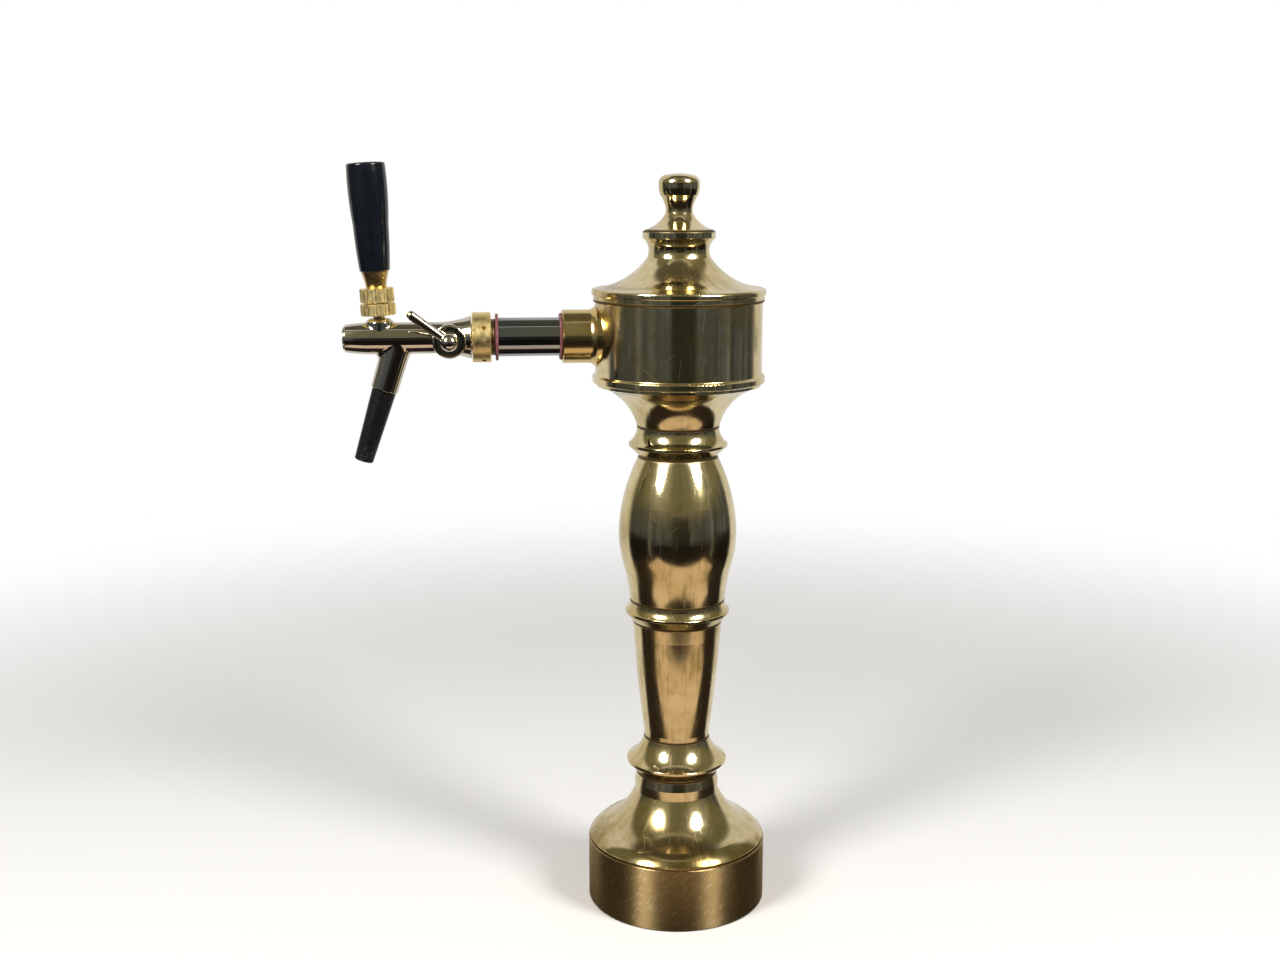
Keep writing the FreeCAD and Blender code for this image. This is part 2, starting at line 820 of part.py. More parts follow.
top_washer_high = clamp_high + size.tie_washer_thickness
top_nut_high = top_washer_high + size.nut_thickness
rod_low = size.line_end_rise
rod_high = top_nut_high + size.tie_end
keep(turned("tie_rod", [
    (0, rod_low),
    (size.tie_radius - size.edge_round, rod_low),
    (size.tie_radius, rod_low + size.edge_round),
    (size.tie_radius, rod_high - size.edge_round),
    (size.tie_radius - size.edge_round, rod_high),
    (0, rod_high),
]))
keep(hex_nut("lower_tie_nut", size.nut_flats, size.tie_radius, ledge_low, ledge_low + size.nut_thickness))
keep(tube("upper_tie_washer", size.tie_radius, size.tie_washer_radius, clamp_high, top_washer_high))
keep(hex_nut("upper_tie_nut", size.nut_flats, size.tie_radius, top_washer_high, top_nut_high))

# Side boss: turned sleeve soldered to the drum, its root shaped to the round wall
boss_blank = along_arm(turned("side_boss_blank", [
    (shank_clear, size.drum_radius / 2),
    (size.boss_root_radius, size.drum_radius / 2),
    (size.boss_root_radius, size.drum_radius),
    (size.boss_radius, size.drum_radius + size.boss_root_length, -COVE),
    (size.boss_radius, boss_end - size.edge_round),
    (size.boss_radius - size.edge_round, boss_end),
    (shank_clear, boss_end),
]))
form_height = size.drum_height * 2
form_start = arm_height - size.drum_height
drum_form = primitive("Cylinder", "drum_form", Radius=size.drum_radius, Height=form_height)
put(drum_form, z=form_start)
keep(cut("side_boss", boss_blank, [drum_form]))

# Shank: threaded tube through the drum wall, the boss and the extension
saddle_start = drum_inside - size.saddle_thickness
locknut_start = saddle_start - size.locknut_thickness
shank_start = locknut_start - size.shank_tail_length
keep(along_arm(turned("shank", [
    (size.shank_bore, shank_start),
    (size.shank_tail_radius, shank_start),
    (size.shank_tail_radius, locknut_start),
    (size.shank_radius, locknut_start),
    (size.shank_radius, shank_flange_start),
    (size.shank_flange_radius, shank_flange_start),
    (size.shank_flange_radius, coupling_start),
    (size.shank_radius, coupling_start),
    (size.shank_radius, shank_end),
    (size.shank_bore, shank_end),
])))
saddle_blank = along_arm(tube(
    "saddle_blank", size.shank_radius, size.saddle_radius, saddle_start, size.drum_radius
))
drum_bore_form = primitive("Cylinder", "drum_bore_form", Radius=drum_inside, Height=form_height)
put(drum_bore_form, z=form_start)
keep(common("shank_saddle", saddle_blank, drum_bore_form))
keep(along_arm(hex_nut(
    "shank_locknut", size.locknut_flats, size.shank_radius, locknut_start, saddle_start
)))

# Tail nut: pulls the beer line's flange to the end of the shank
tail_nut_end = locknut_start - size.slip_gap
tail_nut_start = tail_nut_end - size.tail_nut_length
tail_nut_blank = along_arm(hex_nut(
    "tail_nut_blank", size.tail_nut_flats, size.line_radius + size.seat_gap, tail_nut_start, tail_nut_end
))
line_flange_start = shank_start - size.lip_thickness
tail_counterbore = along_arm(tube(
    "tail_counterbore", size.line_radius / 2, size.shank_tail_radius, line_flange_start, locknut_start
))
keep(cut("tail_nut", tail_nut_blank, [tail_counterbore]))

# Beer line: one formed steel tube from the shank down through the column
line_end = size.line_end_rise


def line_run(label, radius):
    """The line as pipe runs and a quarter bend of one radius of section."""
    bend = number(tail_nut_start) - number(size.line_offset) - 1
    out = -number(shank_start)
    mid = -number(tail_nut_start) + 1
    down = -number(size.line_offset)
    high = number(arm_height)
    corner = Vector(mid + bend * math.cos(math.pi / 4), 0, high - bend + bend * math.sin(math.pi / 4))
    path = Part.Wire([
        Part.LineSegment(Vector(out, 0, high), Vector(mid, 0, high)).toShape(),
        Part.Arc(Vector(mid, 0, high), corner, Vector(down, 0, high - bend)).toShape(),
        Part.LineSegment(Vector(down, 0, high - bend), Vector(down, 0, number(line_end))).toShape(),
    ])
    circle = Part.Wire(Part.makeCircle(number(radius), Vector(out, 0, high), X_AXIS))
    return path.makePipeShell([circle], True, False)


line_solid = line_run("outside", size.line_radius)
line_flange = Part.makeCylinder(
    number(size.shank_tail_radius) - number(size.slip_gap),
    number(size.lip_thickness),
    Vector(-number(shank_start), 0, number(arm_height)),
    X_AXIS,
)
line_bore = line_run("inside", size.line_radius - size.line_wall)
beer_line = doc.addObject("Part::Feature", "beer_line")
beer_line.Label = "beer_line"
beer_line.Shape = line_solid.fuse(line_flange).cut(line_bore).removeSplitter()
beer_line.Placement = FreeCAD.Placement()
keep(beer_line)

# Fibre washers and the chromed extension tube, slipped over the shank
keep(along_arm(eased_tube(
    "inner_fibre_washer", shank_clear, size.washer_radius, boss_end, tube_start, size.edge_round
)))
keep(along_arm(eased_tube(
    "extension_tube", shank_clear, size.extension_radius, tube_start, tube_end, size.seat_gap
)))
keep(along_arm(eased_tube(
    "outer_fibre_washer", shank_clear, size.washer_radius, tube_end, shank_flange_start, size.edge_round
)))

# Coupling ring: screws on the shank and draws the tap's flange to it, turned with a pin spanner
coupling_bore = size.shank_radius + size.seat_gap
lip_start = coupling_end - size.coupling_lip
coupling_blank = along_arm(turned("coupling_blank", [
    (coupling_bore, coupling_start),
    (size.coupling_radius - size.edge_round, coupling_start),
    (size.coupling_radius, coupling_start + size.edge_round),
    (size.coupling_radius, coupling_end - size.edge_round),
    (size.coupling_radius - size.edge_round, coupling_end),
    (size.tap_neck_radius + size.slip_gap, coupling_end),
    (size.tap_neck_radius + size.slip_gap, lip_start),
    (coupling_bore, lip_start),
]))
pin_drills = []
hole_out = coupling_start + size.coupling_hole_setback
hole_floor = size.coupling_radius - size.coupling_hole_depth
for step in range(SIZES["coupling_hole_count"]):
    turn = size.coupling_hole_turn + 360 * step / size.coupling_hole_count
    drill = primitive(
        "Cylinder", f"pin_drill_{step + 1}", Radius=size.coupling_hole_radius, Height=size.coupling_radius
    )
    pin_drills.append(put(
        drill,
        x=-hole_out,
        y=-hole_floor * cosine(turn),
        z=arm_height + hole_floor * sine(turn),
        axis=X_AXIS,
        angle=90 - turn,
    ))
keep(cut("coupling_ring", coupling_blank, pin_drills))
keep(along_arm(tube(
    "coupling_seal", size.shank_bore + size.seat_gap, size.shank_radius, shank_end, tap_start
)))

# Tap body: one casting of tail flange, cone, barrel, spout and two bosses, bored for the valve
flange_end = tap_start + size.tap_flange
inlet_start = tap_cone_end + size.edge_round - size.inlet_chamber_length
seat_start = inlet_start + size.inlet_chamber_length
seat_end = seat_start + size.seat_thickness
taper_start = nose_out - size.barrel_taper
barrel = along_arm(turned("tap_barrel", [
    (0, tap_start),
    (size.shank_radius, tap_start),
    (size.shank_radius, flange_end),
    (size.tap_neck_radius, flange_end),
    (size.tap_neck_radius, tap_shoulder),
    (size.tap_root_radius - size.edge_round, tap_shoulder),
    (size.tap_root_radius, tap_shoulder + size.edge_round, ROUND),
    (size.barrel_radius, tap_cone_end, -SOFT),
    (size.barrel_radius, taper_start),
    (size.barrel_nose_radius, nose_out - size.edge_round, SOFT / 2),
    (size.barrel_nose_radius - size.edge_round, nose_out, ROUND),
    (0, nose_out),
]))
spout_tilt = size.spout_angle - 180


def along_spout(thing):
    """Lay a piece so that its own Z axis runs down the spout from the middle of the barrel."""
    return put(thing, x=-spout_out, z=arm_height, axis=Y_AXIS, angle=spout_tilt)


spout = along_spout(turned("tap_spout", [
    (0, 0),
    (size.spout_root_radius, 0),
    (size.spout_radius, size.spout_length - size.edge_round),
    (size.spout_radius - size.edge_round, size.spout_length, ROUND),
    (size.spout_spigot_radius, size.spout_length),
    (size.spout_spigot_radius, size.spout_length + size.spout_spigot_length - size.edge_round),
    (size.spout_spigot_radius - size.edge_round, size.spout_length + size.spout_spigot_length),
    (0, size.spout_length + size.spout_spigot_length),
]))
saddle_top = size.pivot_rise + size.saddle_boss_rise
saddle_boss = put(turned("tap_saddle_boss", [
    (0, 0),
    (size.saddle_boss_radius, 0),
    (size.saddle_boss_radius, saddle_top - size.edge_round),
    (size.saddle_boss_radius - size.edge_round, saddle_top, ROUND),
    (0, saddle_top),
]), x=-pivot_out, z=arm_height)


def across_tap(thing):
    """Lay a piece so that its own Z axis comes out of the tap's side along the compensator's shaft."""
    return put(thing, x=-flow_out, z=flow_height, axis=X_AXIS, angle=90)


flow_boss = across_tap(turned("tap_flow_boss", [
    (0, 0),
    (size.flow_boss_radius, 0),
    (size.flow_boss_radius, size.flow_boss_reach - size.flow_boss_round),
    (size.flow_boss_radius - size.flow_boss_round, size.flow_boss_reach, ROUND),
    (0, size.flow_boss_reach),
]))
tap_solid = fused("tap_solid", [barrel, spout, saddle_boss, flow_boss])


def seam_edges(solid, low, high):
    """The edges where two round forms of the casting meet, near the lever, below or above the arm's axis."""
    doc.recompute()
    found = []
    for index, edge in enumerate(solid.Shape.Edges, start=1):
        middle = edge.CenterOfMass
        near = abs(middle.x + number(pivot_out) - number(size.pivot_reach) / 2) < number(size.pivot_reach) * 1.2
        inside = number(low) < middle.z - number(arm_height) < number(high)
        if near and inside and not isinstance(edge.Curve, (Part.Circle, Part.Line)):
            found.append(index)
    return found


def filleted(label, solid, choices):
    """Round the chosen seams of a casting; the choices are pairs of edge numbers and radius."""
    rounding = doc.addObject("Part::Fillet", label)
    rounding.Base = solid
    rounding.Edges = [(index, number(radius), number(radius)) for edges, radius in choices for index in edges]
    return rounding


spout_seam = seam_edges(tap_solid, -size.barrel_radius, 0)
boss_seam = seam_edges(tap_solid, size.barrel_radius / 2, size.barrel_radius)
tap_casting = filleted("tap_casting", tap_solid, [(spout_seam, size.spout_fillet), (boss_seam, size.boss_fillet)])

plug_seat = nose_out - size.plug_head
bore_tool = along_arm(turned("tap_bore_tool", [
    (0, tap_start - size.tap_flange),
    (size.shank_bore, tap_start - size.tap_flange),
    (size.shank_bore, inlet_start),
    (size.inlet_chamber_radius, inlet_start),
    (size.inlet_chamber_radius, seat_start),
    (size.chamber_radius, seat_start),
    (size.chamber_radius, plug_seat),
    (size.plug_seal_radius, plug_seat),
    (size.plug_seal_radius, nose_out + size.plug_head),
    (0, nose_out + size.plug_head),
]))
spout_tool = along_spout(primitive(
    "Cylinder", "spout_tool", Radius=size.spout_bore, Height=size.spout_length + size.spout_spigot_length * 2
))
pocket_radius = size.ball_radius + size.slip_gap
seat_bottom = size.pivot_rise - size.ball_seat_drop - size.ball_seat_thickness
retainer_low = size.pivot_rise + size.retainer_rise
ball_tool = put(turned("ball_tool", [
    (0, 0),
    (size.ball_seat_hole, 0),
    (size.ball_seat_hole, seat_bottom),
    (pocket_radius, seat_bottom),
    (pocket_radius, retainer_low),
    (size.retainer_radius, retainer_low),
    (size.retainer_radius, saddle_top + size.saddle_boss_rise),
    (0, saddle_top + size.saddle_boss_rise),
]), x=-pivot_out, z=arm_height)
recess_floor = size.flow_boss_reach - size.flow_recess_depth
recess_mouth = size.flow_recess_radius + size.flow_recess_bevel
flow_tool = across_tap(turned("flow_tool", [
    (0, 0),
    (size.flow_shaft_radius + size.slip_gap, 0),
    (size.flow_shaft_radius + size.slip_gap, recess_floor),
    (size.flow_recess_radius, recess_floor),
    (size.flow_recess_radius, size.flow_boss_reach - size.flow_recess_bevel),
    (recess_mouth, size.flow_boss_reach),
    (recess_mouth, size.flow_boss_reach + size.flow_recess_depth),
    (0, size.flow_boss_reach + size.flow_recess_depth),
]))
keep(cut("tap_body", tap_casting, [bore_tool, spout_tool, ball_tool, flow_tool]))

# Valve seat pressed into the barrel
keep(along_arm(tube("valve_seat", size.seat_hole, size.chamber_radius, seat_start, seat_end)))

# Valve stem: sealed at the inlet side, with a yoke that the lever's finger moves
seal_end = seat_start - size.slip_gap
seal_start = seal_end - size.stem_seal
head_start = seal_start - size.stem_head
yoke_start = pivot_out - size.yoke_back
yoke_end = pivot_out + size.yoke_front
guide_end = yoke_end + size.guide_length
stem_blank = along_arm(turned("valve_stem_blank", [
    (0, head_start),
    (size.stem_head_radius - size.edge_round, head_start),
    (size.stem_head_radius, head_start + size.edge_round),
    (size.stem_head_radius, seal_start),
    (size.stem_radius, seal_start),
    (size.stem_radius, yoke_start),
    (size.yoke_radius, yoke_start),
    (size.yoke_radius, yoke_end),
    (size.guide_radius, yoke_end),
    (size.guide_radius, guide_end - size.edge_round),
    (size.guide_radius - size.edge_round, guide_end),
    (0, guide_end),
]))
lever_tilt = -size.lever_lean
finger_drop = size.pivot_rise * cosine(size.lever_lean)
finger_shift = size.pivot_rise * sine(size.lever_lean)
slot_length = size.finger_radius * 2 + size.slip_gap * 2
slot_width = size.finger_radius * 2 + size.slip_gap * 2
yoke_slot = put(
    primitive("Box", "yoke_slot", Length=slot_length, Width=slot_width, Height=size.yoke_radius * 2),
    x=finger_shift - pivot_out - slot_length / 2,
    y=-slot_width / 2,
    z=arm_height - size.yoke_slot_drop,
)
yoke_flat = put(
    primitive(
        "Box", "yoke_flat", Length=yoke_end - yoke_start, Width=size.yoke_radius * 2, Height=size.yoke_radius
    ),
    x=-yoke_end,
    y=-size.yoke_radius,
    z=arm_height + size.yoke_flat_rise,
)
keep(cut("valve_stem", stem_blank, [yoke_slot, yoke_flat]))
keep(along_arm(tube("stem_seal", size.stem_radius, size.stem_seal_radius, seal_start, seal_end)))

# Front plug: closes the barrel and guides the stem
plug_start = nose_out - size.plug_length
plug_bore = size.guide_radius + size.guide_gap
keep(along_arm(turned("front_plug", [
    (plug_bore, plug_start),
    (size.chamber_radius, plug_start),
    (size.chamber_radius, nose_out),
    (size.plug_head_radius, nose_out),
    (size.plug_head_radius, nose_out + size.plug_head - size.edge_round),
    (size.plug_head_radius - size.edge_round, nose_out + size.plug_head, ROUND),
    (0, nose_out + size.plug_head),
    (0, nose_out + size.plug_head - size.plug_wall),
    (plug_bore, nose_out + size.plug_head - size.plug_wall),
])))
keep(along_arm(tube("plug_seal", size.chamber_radius, size.plug_seal_radius, plug_seat, nose_out)))

# Ball joint of the lever: a seat ring below the ball and a screwed retainer with a low cone above it
ball_form = primitive("Sphere", "ball_form", Radius=pocket_radius)
put(ball_form, x=-pivot_out, z=pivot_height)
seat_blank = put(tube(
    "ball_seat_blank", size.ball_seat_hole, pocket_radius, seat_bottom, seat_bottom + size.ball_seat_thickness
), x=-pivot_out, z=arm_height)
keep(cut("ball_seat", seat_blank, [ball_form]))
retainer_form = primitive("Sphere", "retainer_form", Radius=pocket_radius)
put(retainer_form, x=-pivot_out, z=pivot_height)
retainer_top = saddle_top + size.retainer_cone_height
retainer_blank = put(turned("ball_retainer_blank", [
    (size.retainer_hole_radius, retainer_low),
    (size.retainer_radius, retainer_low),
    (size.retainer_radius, saddle_top),
    (size.retainer_cone_radius, saddle_top),
    (size.retainer_top_radius, retainer_top),
    (size.retainer_hole_radius, retainer_top),
]), x=-pivot_out, z=arm_height)
keep(cut("ball_retainer", retainer_blank, [retainer_form]))


def on_lever(thing):
    """Lay a piece so that its own Z axis is the lever's, from the middle of the ball."""
    return put(thing, x=-pivot_out, z=pivot_height, axis=Y_AXIS, angle=lever_tilt)


# Lever: ball, finger and threaded stem in one piece
ball = on_lever(primitive("Sphere", "lever_sphere", Radius=size.ball_radius))
finger = on_lever(turned("lever_finger", [
    (0, -size.pivot_rise),
    (size.finger_neck_radius, -size.pivot_rise),
    (size.finger_neck_radius, 0),
    (0, 0),
]))
finger_tip = put(
    primitive("Sphere", "lever_finger_tip", Radius=size.finger_radius),
    x=finger_shift - pivot_out,
    z=pivot_height - finger_drop,
)
lever_stem = on_lever(turned("lever_stem", [
    (0, 0),
    (size.lever_stem_radius, 0),
    (size.lever_stem_radius, size.lever_stem_length - size.edge_round),
    (size.lever_stem_radius - size.edge_round, size.lever_stem_length),
    (0, size.lever_stem_length),
]))
keep(fused("lever_ball", [ball, finger, finger_tip, lever_stem]))


def fluted_nut(label, radius, low, high):
    """A finger-tight ring nut with rounded flutes down its side."""
    blank = on_lever(eased_tube(f"{label}_blank", size.lever_stem_radius, radius, low, high, size.edge_round))
    flutes = []
    reach = radius + size.flute_radius - size.flute_depth
    for step in range(SIZES["flute_count"]):
        turn = size.flute_turn + 360 * step / size.flute_count
        flute = primitive("Cylinder", f"{label}_flute_{step + 1}", Radius=size.flute_radius, Height=high - low)
        across = reach * cosine(turn)
        flutes.append(put(
            flute,
            x=across * cosine(size.lever_lean) - low * sine(size.lever_lean) - pivot_out,
            y=reach * sine(turn),
            z=pivot_height + low * cosine(size.lever_lean) + across * sine(size.lever_lean),
            axis=Y_AXIS,
            angle=lever_tilt,
        ))
    return keep(cut(label, blank, flutes))


lower_nut_top = size.ring_nut_start + size.lower_nut_height
upper_nut_low = lower_nut_top + size.nut_spacing
upper_nut_top = upper_nut_low + size.upper_nut_height
ferrule_top = upper_nut_top + size.ferrule_height
grip_top = ferrule_top + size.grip_length
fluted_nut("lower_ring_nut", size.lower_nut_radius, size.ring_nut_start, lower_nut_top)
fluted_nut("upper_ring_nut", size.upper_nut_radius, upper_nut_low, upper_nut_top)

# Ferrule: brass cone under the grip
keep(on_lever(turned("grip_ferrule", [
    (size.lever_stem_radius, upper_nut_top),
    (size.ferrule_low_radius, upper_nut_top),
    (size.ferrule_top_radius, ferrule_top - size.ferrule_lip, -SOFT / 2),
    (size.ferrule_top_radius + size.seat_gap, ferrule_top),
    (size.lever_stem_radius, ferrule_top),
])))

# Grip: moulded handle, fullest at its top
keep(on_lever(turned("lever_grip", [
    (size.lever_stem_radius, ferrule_top),
    (size.grip_low_radius - size.edge_round, ferrule_top),
    (size.grip_low_radius, ferrule_top + size.edge_round, ROUND),
    (size.grip_mid_radius, ferrule_top + size.grip_mid_height, FLAT_SWELL),
    (size.grip_top_radius, grip_top - size.grip_round, FLAT_SWELL * 2),
    (size.grip_top_radius - size.grip_round, grip_top, ROUND),
    (0, grip_top + size.edge_round, DOME),
    (0, size.lever_stem_length),
    (size.lever_stem_radius, size.lever_stem_length),
])))

# Compensator: gland ring, side lever with its eccentric pin, and the cone it shifts
gland_low = recess_floor
gland_high = recess_floor + size.gland_thickness
keep(across_tap(tube(
    "compensator_gland", size.flow_shaft_radius + size.slip_gap, size.flow_recess_radius, gland_low, gland_high
)))
flow_shaft = across_tap(turned("flow_shaft", [
    (0, size.flow_shaft_start),
    (size.flow_shaft_radius, size.flow_shaft_start),
    (size.flow_shaft_radius, size.flow_ball_reach - size.flow_ball_radius / 2),
    (0, size.flow_ball_reach - size.flow_ball_radius / 2),
]))
flow_ball = put(
    primitive("Sphere", "flow_ball", Radius=size.flow_ball_radius),
    x=-flow_out,
    y=-size.flow_ball_reach,
    z=flow_height,
)
flow_pin = put(
    primitive("Cylinder", "flow_pin", Radius=size.flow_pin_radius, Height=size.flow_pin_length * 2),
    x=-flow_out,
    y=size.flow_pin_length - size.flow_shaft_start,
    z=flow_height + size.flow_pin_offset,
    axis=X_AXIS,
    angle=90,
)
flow_arm = put(
    turned("flow_arm", [
        (0, 0),
        (size.flow_arm_root_radius, 0),
        (size.flow_arm_tip_radius, size.flow_arm_length),
        (0, size.flow_arm_length),
    ]),
    x=-flow_out,
    y=-size.flow_ball_reach,
    z=flow_height,
    axis=Y_AXIS,
    angle=size.flow_arm_angle - 90,
)
flow_tip = put(
    primitive("Sphere", "flow_tip", Radius=size.flow_arm_tip_radius),
    x=-flow_out - size.flow_arm_length * cosine(size.flow_arm_angle),
    y=-size.flow_ball_reach,
    z=flow_height + size.flow_arm_length * sine(size.flow_arm_angle),
)
keep(fused("compensator_lever", [flow_shaft, flow_ball, flow_pin, flow_arm, flow_tip]))

cone_start = inlet_start + size.cone_start - size.slip_gap
cone_end = cone_start + size.cone_length
cone_blank = along_arm(turned("compensator_cone_blank", [
    (0, cone_start),
    (size.cone_large_radius - size.edge_round, cone_start),
    (size.cone_large_radius, cone_start + size.edge_round),
    (size.cone_large_radius, cone_start + size.cone_length / 2),
    (size.cone_small_radius, cone_end),
    (0, cone_end),
]))
slot_half = size.flow_pin_radius + size.cone_slot_gap
slot_reach = size.inlet_chamber_radius * 2
pin_slot = put(
    primitive("Box", "pin_slot", Length=slot_half * 2, Width=slot_reach, Height=slot_reach * 2),
    x=-flow_out - slot_half,
    y=size.flow_pin_length - size.flow_shaft_start + size.slip_gap - slot_reach,
    z=arm_height - slot_reach,
)
keep(cut("compensator_cone", cone_blank, [pin_slot]))

# Nozzle: soft black tube pushed over the spout's spigot
nozzle_start = size.spout_length + size.slip_gap
nozzle_end = nozzle_start + size.nozzle_length
socket_radius = size.spout_spigot_radius + size.slip_gap
nozzle_bore = size.nozzle_tip_radius - size.nozzle_wall
keep(along_spout(turned("spout_nozzle", [
    (nozzle_bore, nozzle_end),
    (nozzle_bore, nozzle_start + size.nozzle_socket),
    (socket_radius, nozzle_start + size.nozzle_socket),
    (socket_radius, nozzle_start),
    (size.nozzle_top_radius - size.edge_round, nozzle_start),
    (size.nozzle_top_radius, nozzle_start + size.edge_round),
    (size.nozzle_tip_radius, nozzle_end - size.edge_round),
    (size.nozzle_tip_radius - size.edge_round, nozzle_end),
][::-1])))

# Lid: pushes into the drum, with a seal ring on its spigot
lid_plug = drum_inside - size.slip_gap
seal_groove = lid_plug - size.lid_seal_radius
groove_low = -size.lid_spigot_depth / 2 - size.lid_seal_radius
groove_high = -size.lid_spigot_depth / 2 + size.lid_seal_radius
lid_inside = lid_plug - size.lid_wall
step_radius = size.drum_radius + size.lid_step_proud
rim_radius = size.drum_radius + size.lid_rim_proud
shoulder_radius = size.drum_radius + size.lid_shoulder_proud
keep(put(turned("lid", [
    (lid_inside, -size.lid_spigot_depth),
    (lid_plug, -size.lid_spigot_depth),
    (lid_plug, groove_low),
    (seal_groove, groove_low),
    (seal_groove, groove_high),
    (lid_plug, groove_high),
    (lid_plug, 0),
    (step_radius, 0),
    (step_radius, size.lid_step_height),
    (rim_radius, size.lid_step_height + size.edge_round),
    (rim_radius, size.lid_step_height + size.lid_rim_height),
    (shoulder_radius, size.lid_shoulder_height, ROUND),
    (size.lid_neck_radius, size.lid_neck_height, -DOME_COVE),
    (size.lid_disc_radius - size.edge_round, size.lid_disc_height - size.edge_round, -NECK_COVE),
    (size.lid_disc_radius, size.lid_disc_height, ROUND),
    (size.lid_disc_radius, size.lid_height - size.lip_thickness / 2),
    (size.lid_top_radius, size.lid_height, ROUND),
    (size.stud_radius + size.slip_gap, size.lid_height),
    (size.stud_radius + size.slip_gap, size.lid_height - size.lid_crown),
    (size.lid_well_radius, size.lid_height - size.lid_crown),
    (size.lid_well_radius, size.lid_neck_height),
    (lid_inside, size.lid_step_height, DOME_COVE),
]), z=drum_top))
keep(put(tube(
    "lid_seal", seal_groove, lid_plug, groove_low, groove_high
), z=drum_top))

# Finial: solid turned knob, screwed to the lid by a stud and nut
keep(put(turned("finial", [
    (size.stud_radius, 0),
    (size.finial_foot_radius, 0),
    (size.finial_foot_radius, size.edge_round),
    (size.finial_stem_radius, size.finial_stem_low, -COVE),
    (size.finial_stem_radius, size.finial_stem_high, -SOFT),
    (size.finial_waist_radius, size.finial_waist_height, -SOFT),
    (size.finial_knob_radius, size.finial_knob_height, SOFT),
    (size.finial_crown_radius, size.finial_crown_height, ROUND),
    (0, size.finial_height, DOME),
    (0, size.stud_grip),
    (size.stud_radius, size.stud_grip),
]), z=lid_top))
crown_under = -size.lid_crown
finial_washer_low = crown_under - size.tie_washer_thickness
finial_nut_low = finial_washer_low - size.nut_thickness
keep(put(turned("finial_stud", [
    (0, crown_under - size.stud_tail),
    (size.stud_radius, crown_under - size.stud_tail),
    (size.stud_radius, size.stud_grip),
    (0, size.stud_grip),
]), z=lid_top))
keep(put(tube(
    "finial_washer", size.stud_radius, size.tie_washer_radius, finial_washer_low, crown_under
), z=lid_top))
keep(put(hex_nut("finial_nut", size.nut_flats, size.stud_radius, finial_nut_low, finial_washer_low), z=lid_top))

# Every object must have built before anything is written
doc.recompute()
for thing in doc.Objects:
    if "Invalid" in thing.State or "Error" in thing.State:
        raise RuntimeError(f"{thing.Name} did not build: {thing.State}")
for node in nodes:
    if node.Shape.isNull() or not node.Shape.isValid() or not node.Shape.Solids:
        raise RuntimeError(f"{node.Label} has no valid solid")
os.makedirs("parts", exist_ok=True)
for node in nodes:
    node.Shape.exportStep(os.path.join("parts", f"{node.Label}.step"))
    box = node.Shape.BoundBox
    print(
        f"{node.Label:22s} {len(node.Shape.Solids)} solid  {node.Shape.Volume:10.0f} mm3  "
        f"x {box.XMin:7.1f} {box.XMax:7.1f}  y {box.YMin:6.1f} {box.YMax:6.1f}  z {box.ZMin:6.1f} {box.ZMax:6.1f}"
    )
print(len(nodes), "sub-parts")
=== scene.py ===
import math

import bpy
from mathutils import Euler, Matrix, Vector


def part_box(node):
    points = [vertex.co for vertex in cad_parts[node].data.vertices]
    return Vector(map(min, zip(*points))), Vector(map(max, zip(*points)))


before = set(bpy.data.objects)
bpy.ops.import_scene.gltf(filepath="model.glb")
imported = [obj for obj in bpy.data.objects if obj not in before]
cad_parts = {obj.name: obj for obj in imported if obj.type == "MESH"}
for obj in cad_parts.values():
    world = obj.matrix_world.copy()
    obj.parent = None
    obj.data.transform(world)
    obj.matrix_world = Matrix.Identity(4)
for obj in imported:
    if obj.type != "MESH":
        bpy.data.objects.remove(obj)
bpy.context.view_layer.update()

# Camera: a metre in front of the column and a little above its drum, looking down 11 degrees and turned
# 6 degrees, so that the arm comes slightly forward. The lens is a long 41 mm on a full frame.
camera_data = bpy.data.cameras.new("bar_side_camera")
camera_data.lens = 40.97
camera_data.sensor_width = 36.0
camera_data.clip_start = 0.05
camera = bpy.data.objects.new("bar_side_camera", camera_data)
camera.location = (-0.1361, -1.0314, 0.5297)
camera.rotation_euler = Euler((math.radians(90 - 11.317), 0.0, math.radians(-6.0)), "XYZ")
bpy.context.scene.collection.objects.link(camera)
bpy.context.scene.camera = camera
bpy.context.scene.view_settings.view_transform = "Standard"


# Studio: white all round for the camera and an even grey for cloth and plastic. Polished metal sees the
# white backdrop behind the column, and a dim room with soft panels in front, which gives it its form.
def linear(hex_colour):
    """An sRGB hex colour as linear red, green, blue and alpha."""
    channels = [int(hex_colour[i:i + 2], 16) / 255 for i in (1, 3, 5)]
    return tuple(c / 12.92 if c <= 0.04045 else ((c + 0.055) / 1.055) ** 2.4 for c in channels) + (1.0,)


def add(tree, kind, inputs=None, **settings):
    """Adds one node, with its settings, and its inputs as values or as links from other sockets."""
    made = tree.nodes.new("ShaderNode" + kind)
    for name, value in settings.items():
        setattr(made, name, value)
    for name, value in (inputs or {}).items():
        if isinstance(value, bpy.types.NodeSocket):
            tree.links.new(value, made.inputs[name])
        else:
            made.inputs[name].default_value = value
    return made


def stretch_between(tree, value, low, high, soft):
    """1 where the value lies between low and high, with soft ends."""
    rising = add(tree, "MapRange", {"Value": value, "From Min": low - soft, "From Max": low + soft},
                 interpolation_type="SMOOTHSTEP")
    falling = add(tree, "MapRange", {"Value": value, "From Min": high - soft, "From Max": high + soft,
                                     "To Min": 1.0, "To Max": 0.0}, interpolation_type="SMOOTHSTEP")
    return add(tree, "Math", {0: rising.outputs[0], 1: falling.outputs[0]}, operation="MULTIPLY").outputs[0]


